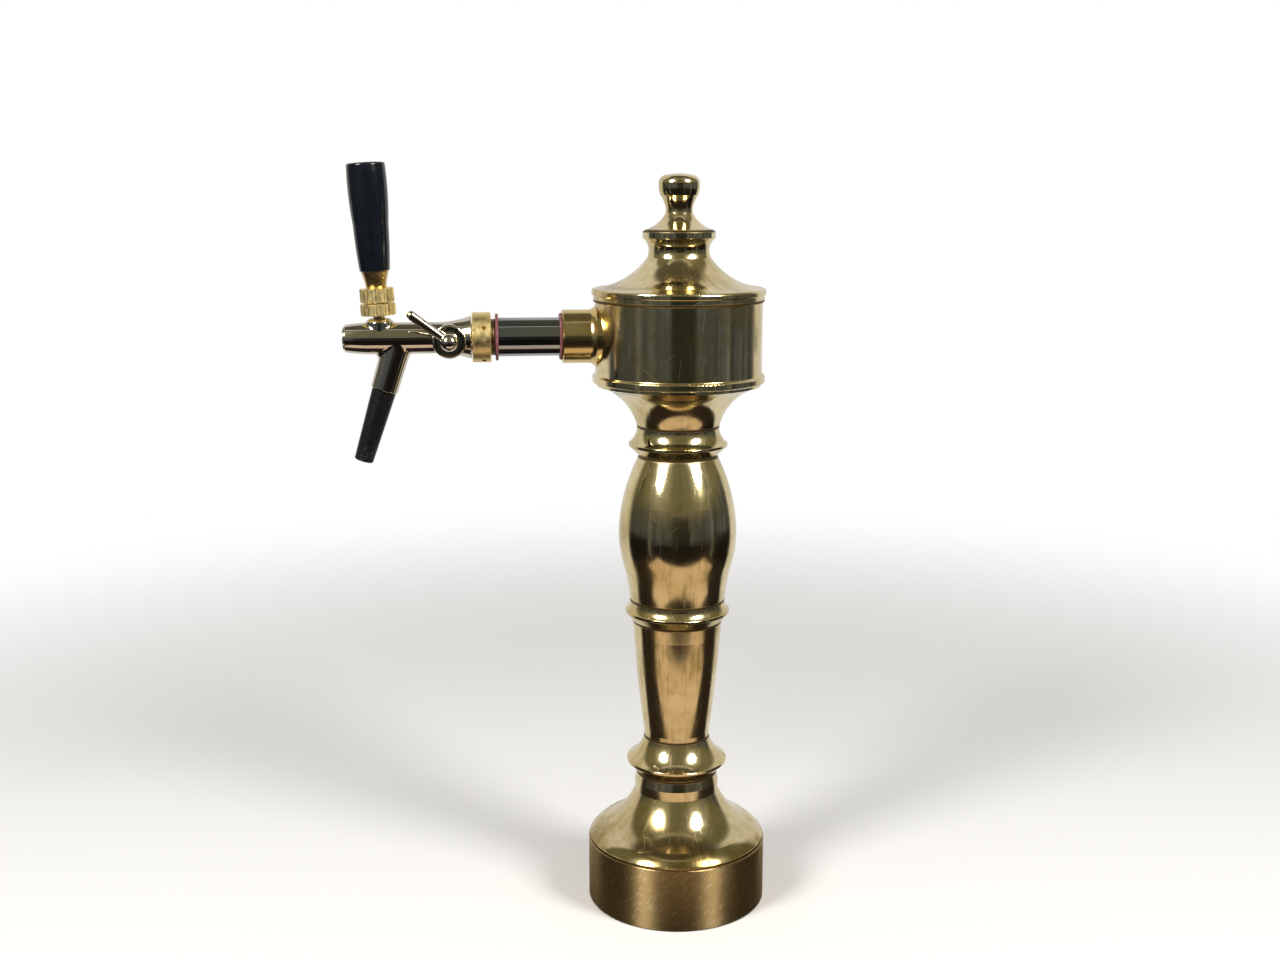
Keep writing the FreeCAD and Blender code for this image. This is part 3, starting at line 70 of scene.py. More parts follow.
world = bpy.data.worlds.new("studio")
bpy.context.scene.world = world
world.use_nodes = True
room = world.node_tree
room.nodes.clear()
heading = add(room, "SeparateXYZ", {0: add(room, "TexCoord").outputs["Generated"]})
towards_camera = add(room, "Math", {0: heading.outputs["Y"], 1: -1.0}, operation="MULTIPLY")
azimuth = add(room, "Math", {0: heading.outputs["X"], 1: towards_camera.outputs[0]}, operation="ARCTAN2").outputs[0]
to_the_side = add(room, "Math", {0: azimuth}, operation="ABSOLUTE").outputs[0]
elevation = add(room, "Math", {0: heading.outputs["Z"]}, operation="ARCSINE").outputs[0]
streaks = add(room, "TexNoise", {"W": azimuth, "Scale": 4.5, "Detail": 3.0, "Roughness": 0.65},
              noise_dimensions="1D")
streak_share = add(room, "MapRange", {"Value": streaks.outputs[0], "From Min": 0.35, "From Max": 0.68})
seen = add(room, "Mix", {0: streak_share.outputs[0], 6: linear("#34393E"), 7: linear("#666C72")},
           data_type="RGBA").outputs[2]
# each panel of the room: from and to in degrees round from the camera, from and to in degrees above the
# horizon, softness of its edges and colour
ROOM_PANELS = (
    (-1, 118, 9, 66, 7.0, "#77745B"),
    (-1, 118, 66, 91, 6.0, "#5A5647"),
    (-1, 17, -14, 7, 2.0, "#2B2E27"),
    (-1, 181, -91, -11, 2.0, "#1C1816"),
    (60, 118, -60, -9, 2.0, "#1B1817"),
    (26, 76, 16, 62, 9.0, "#A09D88"),
    (62, 66, -30, 36, 0.8, "#7A7C7E"),
    (-1, 60, 8.5, 10.0, 0.8, "#9A8680"),
    (-1, 80, 66, 70, 1.0, "#DAD6CE"),
    (118, 181, -64, 58, 5.0, "#E2E0DC"),
    (118, 181, 58, 91, 6.0, "#605D51"),
)
for near, far, low, high, soft, colour in ROOM_PANELS:
    sideways = stretch_between(room, to_the_side, math.radians(near), math.radians(far), math.radians(soft))
    upwards = stretch_between(room, elevation, math.radians(low), math.radians(high), math.radians(soft))
    share = add(room, "Math", {0: sideways, 1: upwards}, operation="MULTIPLY")
    seen = add(room, "Mix", {0: share.outputs[0], 6: seen, 7: linear(colour)}, data_type="RGBA").outputs[2]
rays = add(room, "LightPath")
mirrored = add(room, "Math", {0: rays.outputs["Is Glossy Ray"], 1: rays.outputs["Is Transmission Ray"]},
               operation="MAXIMUM")
for_things = add(room, "Mix", {0: mirrored.outputs[0], 6: linear("#A6A6A6"), 7: seen}, data_type="RGBA")
for_all = add(room, "Mix", {0: rays.outputs["Is Camera Ray"], 6: for_things.outputs[2], 7: linear("#FFFFFF")},
              data_type="RGBA")
sky = add(room, "Background", {"Color": for_all.outputs[2], "Strength": 1.0})
add(room, "OutputWorld", {"Surface": sky.outputs[0]})


def softbox(name, around, above, distance, width, height, watts, aim=(-0.05, 0.0, 0.3)):
    """An oval studio lamp, placed by its angle round from the camera and above the column."""
    data = bpy.data.lights.new(name, "AREA")
    data.shape = "ELLIPSE"
    data.size = width
    data.size_y = height
    data.energy = watts
    lamp = bpy.data.objects.new(name, data)
    across = math.radians(around)
    up = math.radians(above)
    reach = Vector((math.sin(across) * math.cos(up), -math.cos(across) * math.cos(up), math.sin(up)))
    lamp.location = Vector(aim) + reach * distance
    lamp.rotation_euler = (-reach).to_track_quat("-Z", "Y").to_euler()
    lamp.visible_camera = False
    bpy.context.scene.collection.objects.link(lamp)


softbox("left_softbox", -51, 36, 1.7, 0.58, 0.8, 27)
softbox("right_softbox", 47, 36, 1.7, 0.58, 0.8, 25)

# Floor: a pale matt board that runs out into the white. Only in reflections, metal sees a painted pale strip of
# reflected light in front of the column and painted dark shade round the foot, which keeps the brass from washing
# out.
floor_mesh = bpy.data.meshes.new("floor")
FLOOR_REACH = 3.0
FADE_FROM, FADE_TO = 0.5, 1.4
STRIP_FRONT, STRIP_BACK, STRIP_HALF = -0.40, -0.15, 0.42
SHADE_PATCH_FRONT, SHADE_PATCH_BACK, SHADE_PATCH_HALF = -0.45, 0.11, 0.55
floor_rim = [(math.cos(math.tau * i / 96) * FLOOR_REACH, math.sin(math.tau * i / 96) * FLOOR_REACH, 0.0)
             for i in range(96)]
floor_mesh.from_pydata(floor_rim, [], [tuple(range(96))])
floor = bpy.data.objects.new("floor", floor_mesh)
bpy.context.scene.collection.objects.link(floor)
floor.location.z = -0.0003
board = bpy.data.materials.new("matt_painted_board")
board.use_nodes = True
tree = board.node_tree
tree.nodes.clear()
place = add(tree, "TexCoord").outputs["Object"]
from_centre = add(tree, "VectorMath", {0: place}, operation="LENGTH").outputs["Value"]
spot = add(tree, "SeparateXYZ", {0: place})
aside = add(tree, "Math", {0: spot.outputs["X"]}, operation="ABSOLUTE").outputs[0]
# masks for the painted strip of reflected light and the painted shade round the foot, both shown only to glossy
# rays
painted_light_strip = stretch_between(tree, spot.outputs["Y"], STRIP_FRONT, STRIP_BACK, 0.008)
painted_light_strip_end = stretch_between(tree, aside, -1.0, STRIP_HALF, 0.03)
painted_light_strip = add(tree, "Math", {0: painted_light_strip, 1: painted_light_strip_end}, operation="MULTIPLY").outputs[0]
painted_shade_patch = stretch_between(tree, spot.outputs["Y"], SHADE_PATCH_FRONT, SHADE_PATCH_BACK, 0.02)
painted_shade_patch_end = stretch_between(tree, aside, -1.0, SHADE_PATCH_HALF, 0.05)
painted_shade_patch = add(tree, "Math", {0: painted_shade_patch, 1: painted_shade_patch_end}, operation="MULTIPLY").outputs[0]
off_painted_shade_patch = add(tree, "Math", {0: 1.0, 1: painted_shade_patch}, operation="SUBTRACT").outputs[0]
rays = add(tree, "LightPath")
far_fade = add(tree, "MapRange", {"Value": from_centre, "From Min": FADE_FROM, "From Max": FADE_TO},
               interpolation_type="SMOOTHSTEP")
fade = add(tree, "Mix", {0: rays.outputs["Is Glossy Ray"], 2: far_fade.outputs[0], 3: off_painted_shade_patch})
grain = add(tree, "TexNoise", {"Vector": place, "Scale": 900.0, "Detail": 2.0})
paint_tone = add(tree, "Mix", {0: grain.outputs[0], 6: linear("#DDDBD7"), 7: linear("#E3E1DD")}, data_type="RGBA")
# seen only in reflections: painted dark shade round the foot and a painted pale strip of reflected light in front
painted_reflection_tone = add(tree, "Mix", {0: painted_light_strip, 6: linear("#221A15"), 7: linear("#C0AB97")}, data_type="RGBA")
shown_tone = add(tree, "Mix", {0: rays.outputs["Is Glossy Ray"], 6: paint_tone.outputs[2],
                               7: painted_reflection_tone.outputs[2]}, data_type="RGBA")
paint = add(tree, "BsdfPrincipled", {"Base Color": shown_tone.outputs[2], "Roughness": 0.9,
                                     "Specular IOR Level": 0.1})
beyond = add(tree, "BsdfTransparent")
both = add(tree, "MixShader", {0: fade.outputs[0], 1: paint.outputs[0], 2: beyond.outputs[0]})
add(tree, "OutputMaterial", {"Surface": both.outputs[0]})
floor_mesh.materials.append(board)


# Base ring: a thick brass ring, turned and then left satin with emery cloth held against it in the lathe, so
# light stretches into upright bands. Wiping has left crossed, slanting hairlines over the turning, drawn paler as a
# painted glint.
def surface(name, metallic=0.0, roughness=0.5, anisotropic=0.0):
    """A new material with its Principled shader."""
    material = bpy.data.materials.new(name)
    material.use_nodes = True
    tree = material.node_tree
    shader = next(n for n in tree.nodes if n.type == "BSDF_PRINCIPLED")
    shader.inputs["Metallic"].default_value = metallic
    shader.inputs["Roughness"].default_value = roughness
    shader.inputs["Anisotropic"].default_value = anisotropic
    return material, tree, shader


def coat(tree, shader, tone, dull=None, relief=None, strength=0.0, depth=0.0):
    """Gives a surface its colour, its roughness and the fine relief that a bump draws."""
    tree.links.new(tone, shader.inputs["Base Color"])
    if dull is not None:
        tree.links.new(dull, shader.inputs["Roughness"])
    if relief is not None:
        bump = add(tree, "Bump", {"Height": relief, "Strength": strength, "Distance": depth})
        tree.links.new(bump.outputs[0], shader.inputs["Normal"])


def dress(material, *names):
    """Gives CAD nodes their finish."""
    for name in names:
        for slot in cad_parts[name].material_slots:
            slot.material = material


def lathe_circles(tree, place, axis, pitch_mm, centre=(0.0, 0.0, 0.0)):
    """Circles round the work's axis, which change only along it and outwards from it."""
    keep_round = tuple(0.0 if letter == axis else 1.0 for letter in "XYZ")
    from_middle = add(tree, "VectorMath", {0: place, 1: centre}, operation="SUBTRACT").outputs[0]
    flat = add(tree, "VectorMath", {0: from_middle, 1: keep_round}, operation="MULTIPLY").outputs[0]
    radius = add(tree, "VectorMath", {0: flat}, operation="LENGTH").outputs["Value"]
    along = add(tree, "SeparateXYZ", {0: from_middle}).outputs[axis]
    line = add(tree, "Math", {0: radius, 1: 0.7, 2: along}, operation="MULTIPLY_ADD").outputs[0]
    return add(tree, "TexNoise", {"W": line, "Scale": 1000.0 / pitch_mm, "Detail": 2.0},
               noise_dimensions="1D").outputs[0]


def wrapped(tree, place, radius):
    """How far round a turned piece and how high a point lies, in metres, as if its skin were unrolled."""
    parts = add(tree, "SeparateXYZ", {0: place})
    turn = add(tree, "Math", {0: parts.outputs["Y"], 1: parts.outputs["X"]}, operation="ARCTAN2").outputs[0]
    return add(tree, "Math", {0: turn, 1: radius}, operation="MULTIPLY").outputs[0], parts.outputs["Z"]


def hairlines(tree, across, up, lean, spacing_mm, length_mm, width_mm, share):
    """Straight scratches that lean one way, each in a row of its own and broken off at random."""
    slope = math.radians(lean)
    part = add(tree, "Math", {0: up, 1: math.sin(slope)}, operation="MULTIPLY").outputs[0]
    run = add(tree, "Math", {0: across, 1: math.cos(slope), 2: part}, operation="MULTIPLY_ADD").outputs[0]
    part = add(tree, "Math", {0: up, 1: math.cos(slope)}, operation="MULTIPLY").outputs[0]
    drift = add(tree, "Math", {0: across, 1: -math.sin(slope), 2: part}, operation="MULTIPLY_ADD").outputs[0]
    rows = add(tree, "Math", {0: drift, 1: 1000.0 / spacing_mm}, operation="MULTIPLY").outputs[0]
    row = add(tree, "Math", {0: rows}, operation="FLOOR").outputs[0]
    within = add(tree, "Math", {0: rows}, operation="FRACT").outputs[0]
    luck = add(tree, "TexWhiteNoise", {"W": row}, noise_dimensions="1D").outputs["Value"]
    middle = add(tree, "Math", {0: luck, 1: 0.6, 2: 0.2}, operation="MULTIPLY_ADD").outputs[0]
    off = add(tree, "Math", {0: within, 1: middle}, operation="SUBTRACT").outputs[0]
    off = add(tree, "Math", {0: off}, operation="ABSOLUTE").outputs[0]
    line = add(tree, "MapRange", {"Value": off, "From Min": 0.0, "From Max": width_mm / spacing_mm,
                                  "To Min": 1.0, "To Max": 0.0}).outputs[0]
    shift = add(tree, "Math", {0: luck, 1: 37.0}, operation="MULTIPLY").outputs[0]
    step = add(tree, "Math", {0: run, 1: 1000.0 / length_mm, 2: shift}, operation="MULTIPLY_ADD").outputs[0]
    spell = add(tree, "TexNoise", {"W": step, "Scale": 1.0, "Detail": 1.0}, noise_dimensions="1D").outputs[0]
    shown = add(tree, "MapRange", {"Value": spell, "From Min": 0.7 - share, "From Max": 0.78 - share}).outputs[0]
    return add(tree, "Math", {0: line, 1: shown}, operation="MULTIPLY").outputs[0]


satin_brass, tree, shader = surface("emery_satin_brass", metallic=1.0, anisotropic=0.97)
shader.inputs["Anisotropic Rotation"].default_value = 0.25
place = add(tree, "TexCoord").outputs["Object"]
# emery lines are about 0.1 mm apart, and drawn 0.8 mm apart so that they show
circles = lathe_circles(tree, place, "Z", 0.8)
ring_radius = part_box("base_ring")[1][0]
across, up = wrapped(tree, place, ring_radius)
# hairlines are 0.1 mm wide, and drawn 0.4 mm wide so that they show
slanting = hairlines(tree, across, up, 48, 1.5, 9.0, 0.4, 0.12)
flatter = hairlines(tree, across, up, 33, 2.6, 14.0, 0.35, 0.1)
crossing = hairlines(tree, across, up, -40, 4.0, 12.0, 0.35, 0.05)
marks = add(tree, "Math", {0: slanting, 1: flatter}, operation="MAXIMUM").outputs[0]
marks = add(tree, "Math", {0: marks, 1: crossing}, operation="MAXIMUM").outputs[0]
cloudy = add(tree, "TexNoise", {"Vector": place, "Scale": 34.0, "Detail": 4.0, "Roughness": 0.6}).outputs[0]
tone = add(tree, "Mix", {0: cloudy, 6: linear("#C7AB78"), 7: linear("#A68858")}, data_type="RGBA").outputs[2]
# the hairlines are real wear, and their paler colour is a painted glint
painted_hairline_glint = add(tree, "Math", {0: marks, 1: 0.7}, operation="MULTIPLY").outputs[0]
tone = add(tree, "Mix", {0: painted_hairline_glint, 6: tone, 7: linear("#F0DDAE")}, data_type="RGBA").outputs[2]
satin = add(tree, "MapRange", {"Value": circles, "To Min": 0.3, "To Max": 0.43}).outputs[0]
around = add(tree, "Tangent", direction_type="RADIAL", axis="Z")
tree.links.new(around.outputs[0], shader.inputs["Tangent"])
relief = add(tree, "Math", {0: marks, 1: 0.5, 2: circles}, operation="MULTIPLY_ADD").outputs[0]
coat(tree, shader, tone, dull=satin, relief=relief, strength=0.15, depth=0.00003)
dress(satin_brass, "base_ring")

# Under the ring: a black rubber gasket in a groove, and the steel plate that takes the bar bolts.
seal_rubber, tree, shader = surface("moulded_black_rubber", roughness=0.72)
place = add(tree, "TexCoord").outputs["Object"]
chalk = add(tree, "TexNoise", {"Vector": place, "Scale": 180.0, "Detail": 5.0}).outputs[0]
tone = add(tree, "Mix", {0: chalk, 6: linear("#1B1B1C"), 7: linear("#323231")}, data_type="RGBA").outputs[2]
dull = add(tree, "MapRange", {"Value": chalk, "To Min": 0.6, "To Max": 0.85}).outputs[0]
coat(tree, shader, tone, dull=dull)
dress(seal_rubber, "foot_gasket", "coupling_seal", "plug_seal", "stem_seal", "lid_seal")

turned_steel, tree, shader = surface("turned_stainless_steel", metallic=1.0, anisotropic=0.4)
place = add(tree, "TexCoord").outputs["Object"]
circles = lathe_circles(tree, place, "Z", 0.8)
cloudy = add(tree, "TexNoise", {"Vector": place, "Scale": 60.0, "Detail": 4.0}).outputs[0]
tone = add(tree, "Mix", {0: cloudy, 6: linear("#C6C5C2"), 7: linear("#AFADA8")}, data_type="RGBA").outputs[2]
satin = add(tree, "MapRange", {"Value": circles, "To Min": 0.22, "To Max": 0.4}).outputs[0]
coat(tree, shader, tone, dull=satin, relief=circles, strength=0.4, depth=0.00003)
dress(turned_steel, "base_plate", "clamp_plate", "tie_rod", "lower_tie_nut", "upper_tie_washer", "upper_tie_nut",
      "shank_saddle", "shank_locknut", "tail_nut", "beer_line", "valve_stem", "valve_seat", "finial_stud",
      "finial_washer", "finial_nut")

# Column sections, from the bell to the finial: yellow brass castings and tube, turned and buffed to a mirror.
# Years of wiping show as faint circles, hazy patches, hairlines, dark specks and brown dirt at the seams.
polished_brass, tree, shader = surface("buffed_yellow_brass", metallic=1.0)
place = add(tree, "TexCoord").outputs["Object"]
upward = add(tree, "SeparateXYZ", {0: place}).outputs["Z"]
# where two sections meet: their seams are 0.2 mm wide, and the dirt fades out 1.6 mm either side of them
DIRT_FULL, DIRT_NONE = 0.0003, 0.0016
SEAMED_ABOVE = ("pedestal_bell", "lower_knop", "lower_shaft", "middle_ring", "baluster_vase", "upper_collar",
                "neck_trumpet", "finial")
seam_heights = [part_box(name)[0][2] for name in SEAMED_ABOVE]
seam_heights[0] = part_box("base_ring")[1][2]
seam_heights.append(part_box("drum_shell")[1][2])
from_seam = None
for height in seam_heights:
    away = add(tree, "Math", {0: upward, 1: height}, operation="SUBTRACT").outputs[0]
    away = add(tree, "Math", {0: away}, operation="ABSOLUTE").outputs[0]
    if from_seam is not None:
        away = add(tree, "Math", {0: away, 1: from_seam}, operation="MINIMUM").outputs[0]
    from_seam = away
dirt = add(tree, "MapRange", {"Value": from_seam, "From Min": DIRT_FULL, "From Max": DIRT_NONE, "To Min": 1.0,
                              "To Max": 0.0}, interpolation_type="SMOOTHSTEP").outputs[0]
patches = add(tree, "TexNoise", {"Vector": place, "Scale": 26.0, "Detail": 5.0, "Roughness": 0.62}).outputs[0]
mottle = add(tree, "TexNoise", {"Vector": place, "Scale": 170.0, "Detail": 4.0, "Roughness": 0.6}).outputs[0]
# buffing lines are finer than 0.05 mm, and drawn 0.7 mm apart so that they show
circles = lathe_circles(tree, place, "Z", 0.7)
MIDDLING_RADIUS = 0.045
across, up = wrapped(tree, place, MIDDLING_RADIUS)
# hairlines are under 0.1 mm wide, and drawn 0.2 mm wide so that they show
falling = hairlines(tree, across, up, -52, 9.0, 22.0, 0.22, 0.06)
rising = hairlines(tree, across, up, 38, 12.0, 26.0, 0.22, 0.05)
steep = hairlines(tree, across, up, 84, 6.0, 34.0, 0.22, 0.08)
marks = add(tree, "Math", {0: falling, 1: rising}, operation="MAXIMUM").outputs[0]
marks = add(tree, "Math", {0: marks, 1: steep}, operation="MAXIMUM").outputs[0]
# wiping cloths leave a dull film in upright smears about 4 mm wide and 30 mm long
SMEARS_PER_METRE = (250.0, 34.0, 1.0)
unrolled = add(tree, "CombineXYZ", {"X": across, "Y": up}).outputs[0]
smear_grid = add(tree, "VectorMath", {0: unrolled, 1: SMEARS_PER_METRE}, operation="MULTIPLY").outputs[0]
smears = add(tree, "TexNoise", {"Vector": smear_grid, "Scale": 1.0, "Detail": 4.0, "Roughness": 0.6}).outputs[0]
film = add(tree, "MapRange", {"Value": smears, "From Min": 0.46, "From Max": 0.68}).outputs[0]
filmed = add(tree, "MapRange", {"Value": patches, "From Min": 0.42, "From Max": 0.6}).outputs[0]
film = add(tree, "Math", {0: film, 1: filmed}, operation="MULTIPLY").outputs[0]
# specks of tarnish are 0.5 to 1 mm across
specks = add(tree, "TexVoronoi", {"Vector": place, "Scale": 110.0, "Randomness": 1.0}).outputs["Distance"]
specks = add(tree, "MapRange", {"Value": specks, "From Min": 0.04, "From Max": 0.09, "To Min": 1.0,
                                "To Max": 0.0}).outputs[0]
spotted = add(tree, "MapRange", {"Value": mottle, "From Min": 0.5, "From Max": 0.62}).outputs[0]
specks = add(tree, "Math", {0: specks, 1: spotted}, operation="MULTIPLY").outputs[0]
patchy = add(tree, "MapRange", {"Value": patches, "From Min": 0.36, "From Max": 0.66}).outputs[0]
tone = add(tree, "Mix", {0: patchy, 6: linear("#E7D8AE"), 7: linear("#D3BC84")}, data_type="RGBA").outputs[2]
greened = add(tree, "MapRange", {"Value": mottle, "From Min": 0.5, "From Max": 0.75, "To Max": 0.5}).outputs[0]
tone = add(tree, "Mix", {0: greened, 6: tone, 7: linear("#B8AB70")}, data_type="RGBA").outputs[2]
dimmed = add(tree, "Math", {0: film, 1: 0.5}, operation="MULTIPLY").outputs[0]
tone = add(tree, "Mix", {0: dimmed, 6: tone, 7: linear("#8D8452")}, data_type="RGBA").outputs[2]
tone = add(tree, "Mix", {0: specks, 6: tone, 7: linear("#6E5F38")}, data_type="RGBA").outputs[2]
tone = add(tree, "Mix", {0: dirt, 6: tone, 7: linear("#5A4526")}, data_type="RGBA").outputs[2]
# the bell's flare is drawn browner in patches towards the bottom, fully up to 45 mm above the counter and not at
# all from 85 mm
BROWN_FULL, BROWN_NONE = 0.045, 0.085
towards_bottom = add(tree, "MapRange", {"Value": upward, "From Min": BROWN_FULL, "From Max": BROWN_NONE, "To Min": 1.0,
                                  "To Max": 0.0}, interpolation_type="SMOOTHSTEP").outputs[0]
brown_low_down = add(tree, "MapRange", {"Value": patches, "From Min": 0.42, "From Max": 0.56, "To Min": 0.25,
                                 "To Max": 0.85}).outputs[0]
brown_low_down = add(tree, "Math", {0: towards_bottom, 1: brown_low_down}, operation="MULTIPLY").outputs[0]
tone = add(tree, "Mix", {0: brown_low_down, 6: tone, 7: linear("#93783F")}, data_type="RGBA").outputs[2]
haze = add(tree, "MapRange", {"Value": patches, "From Min": 0.36, "From Max": 0.7, "To Min": 0.07,
                              "To Max": 0.17}).outputs[0]
haze = add(tree, "Math", {0: circles, 1: 0.05, 2: haze}, operation="MULTIPLY_ADD").outputs[0]
haze = add(tree, "Math", {0: film, 1: 0.12, 2: haze}, operation="MULTIPLY_ADD").outputs[0]
haze = add(tree, "Math", {0: marks, 1: 0.22, 2: haze}, operation="MULTIPLY_ADD").outputs[0]
haze = add(tree, "Math", {0: specks, 1: 0.3, 2: haze}, operation="MULTIPLY_ADD").outputs[0]
haze = add(tree, "Math", {0: dirt, 1: 0.4, 2: haze}, operation="MULTIPLY_ADD").outputs[0]
relief = add(tree, "Math", {0: marks, 1: -0.8, 2: circles}, operation="MULTIPLY_ADD").outputs[0]
coat(tree, shader, tone, dull=haze, relief=relief, strength=0.16, depth=0.00002)
dress(polished_brass, "pedestal_bell", "lower_knop", "lower_shaft", "middle_ring", "baluster_vase", "upper_collar",
      "neck_trumpet", "drum_shell", "lid", "finial")

# Side boss: brass bar, soldered to the drum and turned about the arm's axis, so its circles stand upright. It
# is yellower and a little duller than the buffed column.
boss_brass, tree, shader = surface("turned_bar_brass", metallic=1.0)
place = add(tree, "TexCoord").outputs["Object"]
arm_height = (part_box("side_boss")[0][2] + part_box("side_boss")[1][2]) / 2
circles = lathe_circles(tree, place, "X", 0.6, centre=(0.0, 0.0, arm_height))
patches = add(tree, "TexNoise", {"Vector": place, "Scale": 45.0, "Detail": 4.0}).outputs[0]
tone = add(tree, "Mix", {0: patches, 6: linear("#E8D59C"), 7: linear("#D2B26C")}, data_type="RGBA").outputs[2]
haze = add(tree, "MapRange", {"Value": circles, "To Min": 0.12, "To Max": 0.26}).outputs[0]
coat(tree, shader, tone, dull=haze, relief=circles, strength=0.3, depth=0.00002)
dress(boss_brass, "side_boss")

# Arm: a threaded shank, of which only the dark flange shows, two washers of vulcanised fibre and a tube of
# brass plated with nickel and bright chromium.
blackened_shank, tree, shader = surface("blackened_threaded_brass", metallic=1.0)
place = add(tree, "TexCoord").outputs["Object"]
along = add(tree, "SeparateXYZ", {0: place}).outputs["X"]
# the thread has 14 turns to the inch, 1.8 mm apart
THREAD_PITCH = 0.0018
turns = add(tree, "Math", {0: along, 1: math.tau / THREAD_PITCH}, operation="MULTIPLY").outputs[0]
thread = add(tree, "Math", {0: turns}, operation="SINE").outputs[0]
worn = add(tree, "TexNoise", {"Vector": place, "Scale": 300.0, "Detail": 3.0}).outputs[0]
tone = add(tree, "Mix", {0: worn, 6: linear("#4A443C"), 7: linear("#8B8172")}, data_type="RGBA").outputs[2]
dull = add(tree, "MapRange", {"Value": worn, "To Min": 0.25, "To Max": 0.5}).outputs[0]
coat(tree, shader, tone, dull=dull, relief=thread, strength=0.5, depth=0.0003)
dress(blackened_shank, "shank")

fibre, tree, shader = surface("vulcanised_red_fibre", roughness=0.65)
place = add(tree, "TexCoord").outputs["Object"]
# pressed paper layers, with fibres about 1 mm long and dust in them
strands = add(tree, "TexNoise", {"Vector": place, "Scale": 900.0, "Detail": 4.0}).outputs[0]
dust = add(tree, "TexNoise", {"Vector": place, "Scale": 220.0, "Detail": 3.0}).outputs[0]
tone = add(tree, "Mix", {0: strands, 6: linear("#5E2C30"), 7: linear("#84494B")}, data_type="RGBA").outputs[2]
dusty = add(tree, "MapRange", {"Value": dust, "From Min": 0.55, "From Max": 0.8, "To Max": 0.5}).outputs[0]
tone = add(tree, "Mix", {0: dusty, 6: tone, 7: linear("#A98F8A")}, data_type="RGBA").outputs[2]
coat(tree, shader, tone, relief=strands, strength=0.5, depth=0.00008)
dress(fibre, "inner_fibre_washer", "outer_fibre_washer")

bright_chrome, tree, shader = surface("bright_chromium_plate", metallic=1.0)
place = add(tree, "TexCoord").outputs["Object"]
smears = add(tree, "TexNoise", {"Vector": place, "Scale": 70.0, "Detail": 4.0}).outputs[0]
tone = add(tree, "Mix", {0: smears, 6: linear("#B0B2B4"), 7: linear("#A2A5A6")}, data_type="RGBA").outputs[2]
haze = add(tree, "MapRange", {"Value": smears, "From Min": 0.4, "From Max": 0.75, "To Min": 0.02,
                              "To Max": 0.09}).outputs[0]
ripple = add(tree, "TexNoise", {"Vector": place, "Scale": 120.0, "Detail": 1.0}).outputs[0]
coat(tree, shader, tone, dull=haze, relief=ripple, strength=0.12, depth=0.0002)
dress(bright_chrome, "extension_tube")

# Coupling ring: brass, gold plated over a fine blasted grain, with four holes for the pins of a spanner. The
# two ring nuts under the grip have the same plate.
blasted_gold, tree, shader = surface("gold_plate_over_blasted_brass", metallic=1.0)
place = add(tree, "TexCoord").outputs["Object"]
# grit of 0.15 mm, drawn at 0.5 mm so that it shows
grit = add(tree, "TexNoise", {"Vector": place, "Scale": 2000.0, "Detail": 2.0}).outputs[0]
blotches = add(tree, "TexNoise", {"Vector": place, "Scale": 260.0, "Detail": 4.0}).outputs[0]
tone = add(tree, "Mix", {0: blotches, 6: linear("#FBE6A6"), 7: linear("#EED088")}, data_type="RGBA").outputs[2]
dull = add(tree, "MapRange", {"Value": blotches, "From Min": 0.3, "From Max": 0.7, "To Min": 0.3,
                              "To Max": 0.48}).outputs[0]
coat(tree, shader, tone, dull=dull, relief=grit, strength=0.55, depth=0.00012)
dress(blasted_gold, "coupling_ring", "lower_ring_nut", "upper_ring_nut")

# Tap: one brass casting, polished and plated with nickel, which is a warmer mirror than chromium. The polish
# leaves the casting softly uneven, and there are hairlines and a few water spots.
nickel, tree, shader = surface("polished_nickel_plate", metallic=1.0)
place = add(tree, "TexCoord").outputs["Object"]
smears = add(tree, "TexNoise", {"Vector": place, "Scale": 60.0, "Detail": 4.0}).outputs[0]
spot = add(tree, "SeparateXYZ", {0: place})
# hairlines from wiping, drawn 0.2 mm wide so that they show
hairs = hairlines(tree, spot.outputs["X"], spot.outputs["Z"], 24, 5.0, 9.0, 0.2, 0.06)
drops = add(tree, "TexVoronoi", {"Vector": place, "Scale": 190.0}).outputs["Distance"]
drops = add(tree, "MapRange", {"Value": drops, "From Min": 0.05, "From Max": 0.1, "To Min": 1.0,
                               "To Max": 0.0}).outputs[0]
tone = add(tree, "Mix", {0: smears, 6: linear("#DDD7CA"), 7: linear("#CBC1AE")}, data_type="RGBA").outputs[2]
tone = add(tree, "Mix", {0: drops, 6: tone, 7: linear("#9E9484")}, data_type="RGBA").outputs[2]
haze = add(tree, "MapRange", {"Value": smears, "From Min": 0.4, "From Max": 0.75, "To Min": 0.04,
                              "To Max": 0.12}).outputs[0]
haze = add(tree, "Math", {0: hairs, 1: 0.2, 2: haze}, operation="MULTIPLY_ADD").outputs[0]
ripple = add(tree, "TexNoise", {"Vector": place, "Scale": 90.0, "Detail": 1.0}).outputs[0]
coat(tree, shader, tone, dull=haze, relief=ripple, strength=0.2, depth=0.0003)
dress(nickel, "tap_body", "front_plug", "ball_retainer", "compensator_gland", "lever_ball", "compensator_lever")

# Inside the tap: the ball's seat and the cone of the flow control are turned from white acetal.
acetal, tree, shader = surface("turned_white_acetal", roughness=0.45)
place = add(tree, "TexCoord").outputs["Object"]
cuts = add(tree, "TexNoise", {"Vector": place, "Scale": 500.0, "Detail": 2.0}).outputs[0]
tone = add(tree, "Mix", {0: cuts, 6: linear("#EDECE6"), 7: linear("#DEDCD3")}, data_type="RGBA").outputs[2]
coat(tree, shader, tone, relief=cuts, strength=0.2, depth=0.00005)
dress(acetal, "ball_seat", "compensator_cone")

# Handle: a ferrule turned from brass bar, and a grip of black phenolic, moulded and polished. It looks nearly
# wet, with a cold cast and faint wiping marks.
ferrule_brass, tree, shader = surface("turned_ferrule_brass", metallic=1.0)
place = add(tree, "TexCoord").outputs["Object"]
